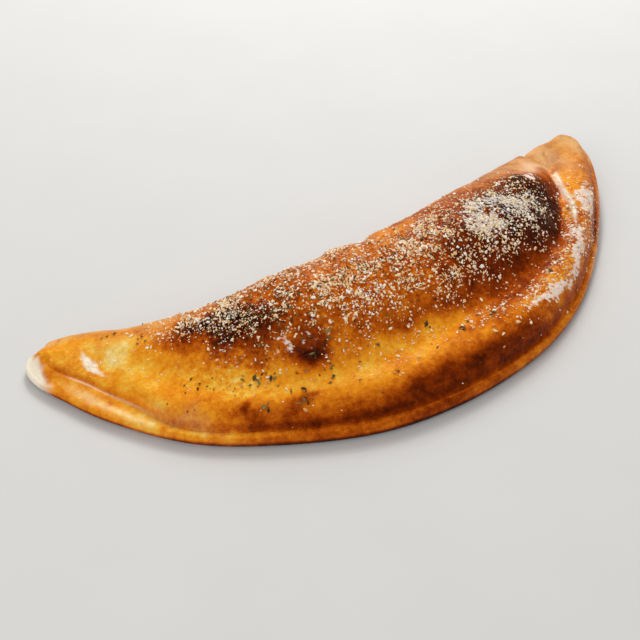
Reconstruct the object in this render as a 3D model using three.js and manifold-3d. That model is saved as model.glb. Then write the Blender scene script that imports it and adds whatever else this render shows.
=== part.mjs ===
// A calzone: one half-moon of folded, baked dough, lying flat on its base.
// Millimetres, +Z up. The curved sealed side faces -Y and the fold faces +Y.
// The origin is the middle of the plan box, on the rest face.
import * as THREE from 'three';
import { mergeVertices } from 'three/addons/utils/BufferGeometryUtils.js';
import Module from 'manifold-3d';

const wasm = await Module();
wasm.setup();

// Plan outline, as [x, y]. The sealed edge runs from behind the left tip, round the front, to
// behind the right tip. The fold closes the back.
const SEALED_EDGE = [
  [10, 10.5], [3, 8], [-0.5, 1], [0.6, -10], [9, -28], [21, -49.8], [51.5, -86], [90, -109.5],
  [134, -126], [172, -129.7], [208, -126.2], [243.6, -116.6], [278.1, -98], [308, -73.5],
  [334.5, -45.4], [352, -21], [361.5, -3], [364, 8], [361, 17], [353, 22.5], [342, 21.5],
];
const FOLD_EDGE = [
  [10, 10.5], [28, 7], [55, -7.5], [95, -20], [145, -22], [210, -13], [272, 3], [313, 15],
  [342, 21.5],
];

// Cross-section sizes along the length, as [distance from the left tip, size].
const CROWN_HEIGHT = [
  [0, 10], [25, 12], [45, 17], [75, 27], [140, 44], [205, 42], [270, 34.5], [310, 21], [338, 10],
];
const BEAD_HEIGHT = [[0, 2], [14, 2.8], [34, 2.5], [60, 1.9], [130, 1.5], [364, 0.9]];
const BEAD_WIDTH = [
  [0, 7.6], [14, 8.8], [22, 10], [30, 8.4], [40, 6.6], [50, 5], [110, 4.8], [200, 4.2], [364, 3.6],
];
const SEAM_WIDTH = [
  [0, 7.8], [14, 9.5], [26, 11.5], [32, 11.6], [37, 10.9], [41, 8.9], [45, 6.2], [50, 5], [60, 4.8],
  [130, 4.5], [200, 3.6], [364, 2.8],
];
const ROLL_HEIGHT = [[0, 5], [40, 11], [110, 16], [200, 19], [300, 18], [340, 14], [364, 11]];
const ROLL_WIDTH = [
  [0, 14], [40, 26], [110, 42], [200, 42], [240, 36], [270, 27], [312, 23], [328, 32], [364, 38],
];
const ROLL_CREST = [[0, 0.42], [316, 0.42], [340, 0.3], [364, 0.3]];
const GROOVE_INSET = [
  [0, 2], [20, 4], [45, 14], [110, 21], [200, 25], [230, 24], [260, 16], [285, 10.5], [312, 10],
  [325, 19], [364, 28],
];
const GROOVE_SOFTNESS = [
  [0, 3], [60, 8], [150, 16], [225, 12], [275, 4], [305, 2.5], [325, 1.4], [364, 1.4],
];

// Fixed sizes of the section: rounded foot, seam behind the bead, roll and filled belly.
const FOOT = { height: 4, inset: 3.5 };
const SEAM = { fill: 0.9, fadeToFold: 12 };
const ROLL = { fadeToFold: 10, creaseSoftness: 2 };
const BELLY = { skew: 1.35, fullness: 2.15, endRun: 26, endPower: 0.6 };
const UPTURN = { start: 285, end: 364, height: 9 };

// Swellings and dents of the baked dough: place, radii, turn in degrees, height.
const RELIEF_FADE = 8;
const RELIEF = [
  { at: [11, 4], radii: [6, 7], turn: 0, height: 2.2 },
  { at: [32, -27], radii: [6, 14], turn: 20, height: -2 },
  { at: [92, -55], radii: [16, 12], turn: 20, height: 2 },
  { at: [135, -62], radii: [26, 16], turn: 10, height: 2.5 },
  { at: [141, -40], radii: [10, 10], turn: 0, height: -1.6 },
  { at: [162, -22], radii: [10, 9], turn: 0, height: 4.5 },
  { at: [179, -30], radii: [4, 12], turn: 10, height: -5 },
  { at: [190, -60], radii: [20, 14], turn: 0, height: -1.5 },
  { at: [245, -45], radii: [30, 16], turn: 12, height: 2.5 },
  { at: [298, -24], radii: [20, 12], turn: 20, height: 2.5 },
  { at: [346, 16], radii: [15, 7], turn: 10, height: 3 },
  { at: [358, 8], radii: [6, 8], turn: 0, height: 1.5 },
  { at: [342, -4], radii: [7, 11], turn: 25, height: -3 },
];

// Pleats at the back, each a fold whose edge lies over its neighbour as a low step: middle of the
// edge, its direction in degrees with the raised side to the right, how far it runs each way, how
// far the raised side reaches, and the step's height and half width.
const PLEATS = [
  { at: [151, -44], turn: 75, length: 14, reach: 12, height: 2, steepness: 1 },
  { at: [174, -46], turn: 74, length: 12, reach: 12, height: 1.6, steepness: 1 },
];

// Fineness of the lofted body.
const STATIONS = 96;
const RINGS = 13;
const FOOT_STEPS = 2;
const SPINE_START = 0.06;
const SPINE_END = 0.93;
const OUTLINE_SAMPLES = 300;
const WELD = 1e-3;

// Grated cheese and dried herbs baked on to the crust.
const TOPPED = { start: 0.07, end: 0.92, front: 0.08, back: 0.92 };
const GRAINS = { seed: 41, count: 100, largest: 3.4, smallest: 2.2, spacing: 8, sunk: 0.25 };
const FLAKES = { seed: 17, count: 14, length: 5, width: 2.6, thickness: 1.3, spacing: 10, sunk: 0.35 };

// Value of a cross-section size at x, by a monotone cubic through its stations.
function along(x, stations) {
  const last = stations.length - 1;
  const slope = (i) => (stations[i + 1][1] - stations[i][1]) / (stations[i + 1][0] - stations[i][0]);
  const tangent = (i) => {
    if (i === 0) return slope(0);
    if (i === last) return slope(last - 1);
    const before = slope(i - 1);
    const after = slope(i);
    return before * after > 0 ? (2 * before * after) / (before + after) : 0;
  };
  const at = THREE.MathUtils.clamp(x, stations[0][0], stations[last][0]);
  let i = 0;
  while (i < last - 1 && at > stations[i + 1][0]) i += 1;
  const span = stations[i + 1][0] - stations[i][0];
  const t = (at - stations[i][0]) / span;
  const s = 1 - t;
  const start = s * s * (1 + 2 * t) * stations[i][1] + s * s * t * span * tangent(i);
  const end = t * t * (1 + 2 * s) * stations[i + 1][1] - t * t * s * span * tangent(i + 1);
  return start + end;
}

// Quarter-circle rise from 0 to 1.
function roundRise(t) {
  const left = 1 - THREE.MathUtils.clamp(t, 0, 1);
  return Math.sqrt(Math.max(0, 1 - left * left));
}

// The larger of two heights, with the corner between them filled over a width k.
function softMax(a, b, k) {
  const h = THREE.MathUtils.clamp(0.5 + (0.5 * (a - b)) / k, 0, 1);
  return b * (1 - h) + a * h + k * h * (1 - h);
}

// A rounded swelling or dent in plan.
function swelling(x, y, { at, radii, turn, height }) {
  const angle = THREE.MathUtils.degToRad(turn);
  const dx = x - at[0];
  const dy = y - at[1];
  const u = (dx * Math.cos(angle) + dy * Math.sin(angle)) / radii[0];
  const v = (dy * Math.cos(angle) - dx * Math.sin(angle)) / radii[1];
  return height * Math.exp(-u * u - v * v);
}

// Height that a pleat adds at a place in plan.
function pleatAt(x, y, { at, turn, length, reach, height, steepness }) {
  const angle = THREE.MathUtils.degToRad(turn);
  const dx = x - at[0];
  const dy = y - at[1];
  const lengthways = (dx * Math.cos(angle) + dy * Math.sin(angle)) / length;
  const across = dx * Math.sin(angle) - dy * Math.cos(angle);
  const out = Math.max(across, 0) / reach;
  const step = THREE.MathUtils.smoothstep(across, -steepness, steepness);
  return height * step * Math.exp(-out * out - lengthways * lengthways);
}

function planCurve(points) {
  const spatial = points.map(([x, y]) => new THREE.Vector3(x, y, 0));
  const curve = new THREE.CatmullRomCurve3(spatial, false, 'centripetal');
  curve.arcLengthDivisions = 2 * OUTLINE_SAMPLES;
  return curve;
}

const sealedEdge = planCurve(SEALED_EDGE);
const foldEdge = planCurve(FOLD_EDGE);
const sealedLine = sealedEdge.getSpacedPoints(OUTLINE_SAMPLES);
const foldLine = foldEdge.getSpacedPoints(OUTLINE_SAMPLES);

// Plan distance from a place to a sampled outline.
function distanceTo(line, x, y) {
  let nearest = Infinity;
  for (let i = 1; i < line.length; i += 1) {
    const a = line[i - 1];
    const b = line[i];
    const ux = b.x - a.x;
    const uy = b.y - a.y;
    const t = THREE.MathUtils.clamp(((x - a.x) * ux + (y - a.y) * uy) / (ux * ux + uy * uy), 0, 1);
    nearest = Math.min(nearest, Math.hypot(x - a.x - t * ux, y - a.y - t * uy));
  }
  return nearest;
}

// Height of the underside, flat but for the upturned right tip.
function undersideAt(x) {
  const t = THREE.MathUtils.clamp((x - UPTURN.start) / (UPTURN.end - UPTURN.start), 0, 1);
  return UPTURN.height * t * t;
}

// Height of the rolled edge, with its crest nearer the sealed side.
function rollAt(x, fromSeal, fromFold) {
  const t = THREE.MathUtils.clamp((fromSeal - along(x, SEAM_WIDTH)) / along(x, ROLL_WIDTH), 0, 1);
  const crest = along(x, ROLL_CREST);
  const offCrest = t < crest ? t / crest - 1 : (t - crest) / (1 - crest);
  const profile = Math.sqrt(Math.max(0, 1 - offCrest * offCrest));
  return along(x, ROLL_HEIGHT) * profile * roundRise(fromFold / ROLL.fadeToFold);
}

// Height of the bead at the foot of the sealed side and of the flat seam behind it.
function beadAt(x, fromSeal, fromFold) {
  const half = along(x, BEAD_WIDTH) / 2;
  const height = along(x, BEAD_HEIGHT);
  const across = THREE.MathUtils.clamp(fromSeal / half - 1, -1, 1);
  const bead = height * Math.sqrt(1 - across * across);
  const seam = SEAM.fill * height * roundRise(fromSeal / half) * roundRise(fromFold / SEAM.fadeToFold);
  return Math.max(bead, seam);
}

// Height of the filled belly, a super-ellipse between the groove and the fold.
function bellyAt(x, fromSeal, fromFold) {
  const inside = Math.max(0, fromSeal - along(x, GROOVE_INSET));
  const share = (inside / Math.max(inside + fromFold, WELD)) ** BELLY.skew;
  const section = Math.max(0, 1 - Math.abs(2 * share - 1) ** BELLY.fullness) ** (1 / BELLY.fullness);
  return along(x, CROWN_HEIGHT) * section * roundRise(inside / BELLY.endRun) ** BELLY.endPower;
}

// Height of the upper crust above the rest face.
function crustAt(x, y) {
  const fromSeal = distanceTo(sealedLine, x, y);
  const fromFold = distanceTo(foldLine, x, y);
  const edge = softMax(beadAt(x, fromSeal, fromFold), rollAt(x, fromSeal, fromFold), ROLL.creaseSoftness);
  const dome = softMax(edge, bellyAt(x, fromSeal, fromFold), along(x, GROOVE_SOFTNESS));
  const fade = roundRise(Math.min(fromSeal, fromFold) / RELIEF_FADE);
  const swellings = RELIEF.reduce((sum, hump) => sum + swelling(x, y, hump), 0);
  const pleats = PLEATS.reduce((sum, pleat) => sum + pleatAt(x, y, pleat), 0);
  const rim = roundRise(Math.min(fromSeal, fromFold));
  return FOOT.height + undersideAt(x) + dome * rim + (swellings + pleats) * fade;
}

// One station's loop: over the crust from seal to fold, then back along the underside.
function stationLoop(t) {
  const seal = sealedEdge.getPointAt(t);
  const fold = foldEdge.getPointAt(t);
  const middle = THREE.MathUtils.clamp(t, SPINE_START, SPINE_END);
  const spine = sealedEdge.getPointAt(middle).lerp(foldEdge.getPointAt(middle), 0.5);
  const top = [];
  for (let k = 0; k <= RINGS; k += 1) {
    const share = 1 - Math.cos((Math.PI * k) / (2 * RINGS));
    const place = seal.clone().lerp(spine, share);
    top.push(place.setZ(crustAt(place.x, place.y)));
  }
  for (let k = RINGS - 1; k >= 0; k -= 1) {
    const share = 1 - Math.cos((Math.PI * k) / (2 * RINGS));
    const place = fold.clone().lerp(spine, share);
    top.push(place.setZ(crustAt(place.x, place.y)));
  }
  const foot = (edge, step) => {
    const angle = (Math.PI * step) / (2 * FOOT_STEPS);
    const inward = spine.clone().sub(edge).setLength(FOOT.inset * (1 - Math.cos(angle)));
    const place = edge.clone().add(inward);
    return place.setZ(undersideAt(place.x) + FOOT.height * (1 - Math.sin(angle)));
  };
  const bottom = [];
  for (let step = 1; step <= FOOT_STEPS; step += 1) bottom.push(foot(fold, step));
  bottom.push(spine.clone().setZ(undersideAt(spine.x)));
  for (let step = FOOT_STEPS; step >= 1; step -= 1) bottom.push(foot(seal, step));
  return top.concat(bottom);
}

// Stations lie closer together towards the tips.
function stationShare(i) {
  const even = i / STATIONS;
  return 0.5 * even + 0.25 * (1 - Math.cos(Math.PI * even));
}

// A closed body as a manifold-3d solid, with its shared vertices merged.
function solidFrom(geometry) {
  const bare = new THREE.BufferGeometry();
  bare.setAttribute('position', geometry.getAttribute('position'));
  bare.setIndex(geometry.index);
  const merged = mergeVertices(bare, WELD);
  const corners = [];
  for (let i = 0; i < merged.index.count; i += 3) {
    const [a, b, c] = [0, 1, 2].map((k) => merged.index.getX(i + k));
    if (a !== b && b !== c && c !== a) corners.push(a, b, c);
  }
  return new wasm.Manifold(new wasm.Mesh({
    numProp: 3,
    vertProperties: merged.getAttribute('position').array,
    triVerts: new Uint32Array(corners),
  }));
}

function bodyGeometry() {
  const loops = Array.from({ length: STATIONS + 1 }, (_, i) => stationLoop(stationShare(i)));
  const size = loops[0].length;
  const corners = [];
  for (let i = 0; i < STATIONS; i += 1) {
    for (let j = 0; j < size; j += 1) {
      const next = (j + 1) % size;
      const a = i * size + j;
      const b = (i + 1) * size + j;
      const c = (i + 1) * size + next;
      const d = i * size + next;
      corners.push(a, b, c, a, c, d);
    }
  }
  const geometry = new THREE.BufferGeometry().setFromPoints(loops.flat());
  geometry.setIndex(corners);
  return geometry;
}

// Repeatable random numbers from 0 to 1.
function seeded(seed) {
  let state = seed;
  return () => {
    state = (state * 16807) % 2147483647;
    return state / 2147483647;
  };
}

// Outward direction of the upper crust.
function crustNormal(x, y) {
  const step = 1.5;
  const slopeX = crustAt(x + step, y) - crustAt(x - step, y);
  const slopeY = crustAt(x, y + step) - crustAt(x, y - step);
  return new THREE.Vector3(-slopeX, -slopeY, 2 * step).normalize();
}

// Draws places on the crust, each at least a spacing from the others of its kind.
function scatter({ seed, count, spacing }, accept) {
  const random = seeded(seed);
  const places = [];
  while (places.length < count) {
    const t = THREE.MathUtils.lerp(TOPPED.start, TOPPED.end, random());
    const share = THREE.MathUtils.lerp(TOPPED.front, TOPPED.back, random());
    const place = sealedEdge.getPointAt(t).lerp(foldEdge.getPointAt(t), share);
    const clear = places.every((other) => other.distanceTo(place) > spacing);
    if (clear && random() < accept(t, share)) places.push(place);
  }
  return { places, random };
}

// Cheese lies thick over the belly and thins out over the roll and the left end.
function cheeseCover(t, share) {
  const lengthways = THREE.MathUtils.smoothstep(t, 0.12, 0.45);
  const across = THREE.MathUtils.smoothstep(share, 0.12, 0.5);
  return 0.05 + 0.95 * lengthways * across;
}

// Herbs lie mostly on the middle of the length, on the belly's front slope.
function herbCover(t, share) {
  const nearMiddle = Math.exp(-(((t - 0.42) / 0.2) ** 2));
  return share > 0.12 && share < 0.85 ? nearMiddle : 0;
}

// An uneven crumb of cheese about a unit across.
function grainGeometry(random) {
  const faceted = new THREE.IcosahedronGeometry(0.5, 0);
  faceted.deleteAttribute('normal').deleteAttribute('uv');
  const crumb = mergeVertices(faceted, WELD);
  const corners = crumb.getAttribute('position');
  for (let i = 0; i < corners.count; i += 1) {
    const stretch = 0.8 + 0.4 * random();
    corners.setXYZ(i, corners.getX(i) * stretch, corners.getY(i) * stretch, corners.getZ(i) * stretch);
  }
  return crumb;
}

// A dried leaf flake: a flat, uneven six-sided chip.
function flakeGeometry(random) {
  const chip = new THREE.CylinderGeometry(0.5, 0.5, 1, 6, 1);
  chip.rotateX(Math.PI / 2);
  const corners = chip.getAttribute('position');
  const reach = Array.from({ length: 6 }, () => 0.75 + 0.5 * random());
  for (let i = 0; i < corners.count; i += 1) {
    const turn = Math.atan2(corners.getY(i), corners.getX(i)) / (Math.PI / 3) + 6;
    const side = Math.floor(turn + 0.25) % 6;
    corners.setXYZ(i, corners.getX(i) * reach[side], corners.getY(i) * reach[side], corners.getZ(i));
  }
  return chip;
}

// Lays a piece on the crust, turned about the crust's normal and partly sunk in it.
function layOnCrust(geometry, place, turn, size, sunk) {
  const normal = crustNormal(place.x, place.y);
  const spin = new THREE.Quaternion().setFromAxisAngle(new THREE.Vector3(0, 0, 1), turn);
  const tilt = new THREE.Quaternion().setFromUnitVectors(new THREE.Vector3(0, 0, 1), normal);
  const seat = new THREE.Vector3(place.x, place.y, crustAt(place.x, place.y));
  seat.addScaledVector(normal, size.z * (0.5 - sunk));
  geometry.applyMatrix4(new THREE.Matrix4().compose(seat, tilt.multiply(spin), size));
  return geometry;
}

function grainSolids() {
  const { places, random } = scatter(GRAINS, cheeseCover);
  return places.map((place, i) => {
    const across = THREE.MathUtils.lerp(GRAINS.largest, GRAINS.smallest, i / (GRAINS.count - 1));
    const size = new THREE.Vector3(across, across * (0.7 + 0.25 * random()), across * (0.6 + 0.2 * random()));
    const grain = grainGeometry(random);
    return solidFrom(layOnCrust(grain, place, 2 * Math.PI * random(), size, GRAINS.sunk));
  });
}

function flakeSolids() {
  const { places, random } = scatter(FLAKES, herbCover);
  return places.map((place) => {
    const scale = 0.75 + 0.5 * random();
    const size = new THREE.Vector3(FLAKES.length * scale, FLAKES.width * scale, FLAKES.thickness);
    return solidFrom(layOnCrust(flakeGeometry(random), place, 2 * Math.PI * random(), size, FLAKES.sunk));
  });
}

const body = solidFrom(bodyGeometry());
const topped = [...grainSolids(), ...flakeSolids()].reduce((sum, piece) => sum.add(piece), body);
const [whole] = topped.decompose().sort((a, b) => b.volume() - a.volume());

const skin = whole.getMesh();
const geometry = new THREE.BufferGeometry();
geometry.setAttribute('position', new THREE.BufferAttribute(skin.vertProperties, skin.numProp));
geometry.setIndex(new THREE.BufferAttribute(skin.triVerts, 1));
geometry.computeVertexNormals();
geometry.computeBoundingBox();

const crust = new THREE.MeshStandardMaterial({ color: 0xb8742c, roughness: 0.5, metalness: 0 });
const calzone = new THREE.Mesh(geometry, crust);
calzone.name = 'calzone';
const middle = geometry.boundingBox.getCenter(new THREE.Vector3());
calzone.position.set(-middle.x, -middle.y, -geometry.boundingBox.min.z);

const part = new THREE.Group();
part.add(calzone);

export default part;
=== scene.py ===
"""A baked calzone on a pale floor: golden crust, grated hard cheese and dried herbs.

The crust's own sizes are millimetres in the tip frame: x runs from the left tip to the right one,
the sealed side faces -y and z is the height above the rest face. Meshes are made in metres, in the
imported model's frame.
"""
from __future__ import annotations

import logging
import math
from dataclasses import dataclass, field
from enum import Enum, IntEnum
from typing import Union

import bpy
import numpy as np
from mathutils import Matrix, Vector


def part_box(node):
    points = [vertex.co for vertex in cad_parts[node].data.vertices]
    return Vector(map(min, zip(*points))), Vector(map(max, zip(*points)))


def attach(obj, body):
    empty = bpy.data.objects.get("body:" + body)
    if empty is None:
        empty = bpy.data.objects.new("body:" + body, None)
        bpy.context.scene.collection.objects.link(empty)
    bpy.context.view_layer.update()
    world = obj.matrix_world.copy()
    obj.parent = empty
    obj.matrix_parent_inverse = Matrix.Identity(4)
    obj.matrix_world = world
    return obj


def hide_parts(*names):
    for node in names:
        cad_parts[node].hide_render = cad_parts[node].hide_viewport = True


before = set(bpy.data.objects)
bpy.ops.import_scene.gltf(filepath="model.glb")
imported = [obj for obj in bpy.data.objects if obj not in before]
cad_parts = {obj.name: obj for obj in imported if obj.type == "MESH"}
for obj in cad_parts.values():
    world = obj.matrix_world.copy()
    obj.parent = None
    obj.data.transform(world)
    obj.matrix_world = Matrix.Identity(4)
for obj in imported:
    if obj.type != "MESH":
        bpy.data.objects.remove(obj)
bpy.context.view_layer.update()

LOG = logging.getLogger("calzone")
MM = 0.001
BODY = "root"
NODE = "calzone"
CHEESE_SLOT = "cheese"
HERB_SLOT = "herbs"
NOISE_TABLE = 256
NOISE_SHIFT = (97.0, 61.0)
CLOUD_SPAN = (0.3, 0.7)

Colour = tuple[float, float, float]
Socket = bpy.types.NodeSocket
Level = Union[float, Socket]


class Seed(IntEnum):
    """Seeds of the noises over the crust and of the strewn toppings."""

    LUMPS = 11
    BLISTERS = 23
    STREAKS = 31
    WARP_X = 41
    WARP_X_FINE = 42
    WARP_Y = 43
    WARP_Y_FINE = 44
    WANDER = 45
    STRIPE_GAPS = 46
    RAW_EDGE = 47
    FILM = 48
    RAW_FINE = 49
    LACE = 50
    HEAPS = 51
    HEAPS_FINE = 52
    LACE_FINE = 53
    TIP = 54
    STRIPE_WAVER = 55
    GRAINS = 61
    CRUMBS = 62
    DUST = 63
    FLECKS = 64
    LEAVES = 65


# --------------------------------------------------------------------------------------------
# Plain numbers
# --------------------------------------------------------------------------------------------


def smooth_step(value: np.ndarray, low: float, high: float) -> np.ndarray:
    """Rises smoothly from 0 at low to 1 at high.

    Args:
        value: The measured values.
        low: Where the rise starts.
        high: Where it ends; below low, the rise runs the other way.

    Returns:
        The rise at each value.
    """
    t = np.clip((value - low) / (high - low), 0, 1)
    return t * t * (3 - 2 * t)


def round_rise(t: np.ndarray) -> np.ndarray:
    """Quarter-circle rise from 0 at t = 0 to 1 at t = 1."""
    return np.sqrt(np.maximum(0, 1 - (1 - np.clip(t, 0, 1)) ** 2))


def soft_max(a: np.ndarray, b: np.ndarray, width: np.ndarray) -> np.ndarray:
    """The larger of two heights, with the corner between them filled.

    Args:
        a: First height.
        b: Second height.
        width: How far the fillet reaches.

    Returns:
        The joined height.
    """
    h = np.clip(0.5 + 0.5 * (a - b) / width, 0, 1)
    return b * (1 - h) + a * h + width * h * (1 - h)


def bell(distance: np.ndarray, width: float) -> np.ndarray:
    """Bell curve of a distance: 1 at none, about a third at the width."""
    return np.exp(-((distance / width) ** 2))


def from_share(share: float, rise: np.ndarray) -> np.ndarray:
    """A rise to 1 that starts at a share of it in place of 0."""
    return share + (1 - share) * rise


def turned(x: np.ndarray, y: np.ndarray, turn: float) -> tuple[np.ndarray, np.ndarray]:
    """Measures along and across a direction.

    Args:
        x: Measures along +x.
        y: Measures along +y.
        turn: The direction, in degrees from +x.

    Returns:
        The measures along the direction and to the left of it.
    """
    angle = math.radians(turn)
    return x * math.cos(angle) + y * math.sin(angle), y * math.cos(angle) - x * math.sin(angle)


@dataclass(frozen=True)
class Rise:
    """A smooth rise from 0 at low to 1 at high; where low is above high it is a fall."""

    low: float
    high: float

    def at(self, value: np.ndarray) -> np.ndarray:
        """How far the rise has come at each value."""
        return smooth_step(value, self.low, self.high)


def lattice_noise(x: np.ndarray, y: np.ndarray, cell: float, seed: int) -> np.ndarray:
    """Smooth repeatable noise from -1 to 1 over the plan.

    Args:
        x: Plan places along the length.
        y: Plan places across it.
        cell: Size of one lump.
        seed: Which noise it is.

    Returns:
        The noise at each place.
    """
    table = np.random.default_rng(seed).uniform(-1, 1, (NOISE_TABLE, NOISE_TABLE))
    u, v = x / cell + NOISE_SHIFT[0], y / cell + NOISE_SHIFT[1]
    i, j = np.floor(u).astype(int), np.floor(v).astype(int)
    s, t = u - i, v - j
    s, t = s * s * (3 - 2 * s), t * t * (3 - 2 * t)
    i, j, k, m = (corner % NOISE_TABLE for corner in (i, j, i + 1, j + 1))
    near = table[i, j] * (1 - s) + table[k, j] * s
    far = table[i, m] * (1 - s) + table[k, m] * s
    return near * (1 - t) + far * t


# --------------------------------------------------------------------------------------------
# Form of the calzone
# --------------------------------------------------------------------------------------------


@dataclass(frozen=True)
class SizeAlong:
    """A cross-section size that varies along the length.

    stations holds pairs of distance from the left tip and size.
    """

    stations: tuple[tuple[float, float], ...]

    def at(self, x: np.ndarray) -> np.ndarray:
        """The size by a monotone cubic through the stations.

        Args:
            x: Distances from the left tip.

        Returns:
            The size at each distance.
        """
        places, sizes = np.array(self.stations, float).T
        slopes = np.diff(sizes) / np.diff(places)
        product, total = slopes[:-1] * slopes[1:], slopes[:-1] + slopes[1:]
        inner = np.divide(2 * product, total, out=np.zeros_like(total), where=product > 0)
        tangents = np.concatenate([slopes[:1], inner, slopes[-1:]])
        at = np.clip(x, places[0], places[-1])
        i = np.clip(np.searchsorted(places, at, side="right") - 1, 0, len(places) - 2)
        span = places[i + 1] - places[i]
        t = (at - places[i]) / span
        s = 1 - t
        start = s * s * (1 + 2 * t) * sizes[i] + s * s * t * span * tangents[i]
        end = t * t * (1 + 2 * s) * sizes[i + 1] - t * t * s * span * tangents[i + 1]
        return start + end


@dataclass(frozen=True)
class PlanCurve:
    """A smooth plan outline through a few points, sampled at even steps along it."""

    points: tuple[tuple[float, float], ...]
    samples: int = 300

    def line(self) -> np.ndarray:
        """Samples the curve.

        Returns:
            Evenly spaced points on it, first to last.
        """
        fine = self._fine()
        reach = np.concatenate([[0], np.cumsum(np.hypot(*np.diff(fine, axis=0).T))])
        even = np.linspace(0, reach[-1], self.samples + 1)
        return np.stack([np.interp(even, reach, fine[:, k]) for k in (0, 1)], axis=1)

    def _fine(self, steps: int = 40) -> np.ndarray:
        """Centripetal Catmull-Rom curve through the points.

        Args:
            steps: How many steps lie between two of them.

        Returns:
            Points on the curve.
        """
        given = np.array(self.points, float)
        ends = (2 * given[0] - given[1], 2 * given[-1] - given[-2])
        knots = np.vstack([ends[0], given, ends[1]])
        t = np.linspace(0, 1, steps, endpoint=False)[:, None]
        runs = []
        for i in range(len(given) - 1):
            a, b, c, d = knots[i : i + 4]
            first, second, third = (np.hypot(*(q - p)) ** 0.5 for p, q in ((a, b), (b, c), (c, d)))
            leave = ((b - a) / first - (c - a) / (first + second) + (c - b) / second) * second
            arrive = ((c - b) / second - (d - b) / (second + third) + (d - c) / third) * second
            s = 1 - t
            start = s * s * (1 + 2 * t) * b + s * s * t * leave
            runs.append(start + t * t * (1 + 2 * s) * c - t * t * s * arrive)
        return np.vstack([*runs, given[-1:]])


def distance_to(line: np.ndarray, x: np.ndarray, y: np.ndarray) -> np.ndarray:
    """Plan distance from places to a sampled line.

    Args:
        line: Points along the line.
        x: Plan places along the length.
        y: Plan places across it.

    Returns:
        The shortest distance from each place.
    """
    nearest = np.full(np.shape(x), np.inf)
    for (ax, ay), (bx, by) in zip(line[:-1], line[1:]):
        ux, uy = bx - ax, by - ay
        t = np.clip(((x - ax) * ux + (y - ay) * uy) / (ux * ux + uy * uy), 0, 1)
        nearest = np.minimum(nearest, (x - ax - t * ux) ** 2 + (y - ay - t * uy) ** 2)
    return np.sqrt(nearest)


@dataclass(frozen=True)
class Patch:
    """A soft-edged oval in plan, for a swelling, a dent, a bake colour or a topping.

    Args:
        at: Its middle.
        radii: Its half sizes along and across its own direction.
        turn: Its direction, in degrees from +x.
        amount: What it adds at the middle.
    """

    at: tuple[float, float]
    radii: tuple[float, float]
    turn: float
    amount: float

    def over(self, x: np.ndarray, y: np.ndarray) -> np.ndarray:
        """What the patch adds.

        Args:
            x: Plan places along the length.
            y: Plan places across it.

        Returns:
            The added amount at each place.
        """
        along, across = turned(x - self.at[0], y - self.at[1], self.turn)
        u, v = along / self.radii[0], across / self.radii[1]
        return self.amount * np.exp(-u * u - v * v)


@dataclass(frozen=True)
class Pleat:
    """A fold of dough whose edge lies over its neighbour as a low step.

    Args:
        at: Middle of its edge.
        turn: Direction of its edge, in degrees from +x; the raised side is to the right of it.
        length: How far the edge reaches each way.
        reach: How far the raised side runs out.
        height: Height of the step.
        steepness: Half width of the step itself.
    """

    at: tuple[float, float]
    turn: float
    length: float
    reach: float
    height: float
    steepness: float = 1.0

    def over(self, x: np.ndarray, y: np.ndarray) -> np.ndarray:
        """What the pleat adds.

        Args:
            x: Plan places along the length.
            y: Plan places across it.

        Returns:
            The added height at each place.
        """
        along, left = turned(x - self.at[0], y - self.at[1], self.turn)
        along = along / self.length
        out = np.maximum(-left, 0) / self.reach
        step = smooth_step(-left, -self.steepness, self.steepness)
        return self.height * step * np.exp(-out * out - along * along)


def sum_over(forms: tuple[Union[Patch, Pleat], ...], x: np.ndarray, y: np.ndarray) -> np.ndarray:
    """What several patches and pleats add together at each place."""
    return sum((form.over(x, y) for form in forms), np.zeros(np.shape(x)))


@dataclass(frozen=True)
class Insets:
    """Where plan places lie between the edges: how far from the sealed side, fold and groove."""

    x: np.ndarray
    y: np.ndarray
    from_seal: np.ndarray
    from_fold: np.ndarray
    from_groove: np.ndarray
    from_melt: np.ndarray


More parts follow.
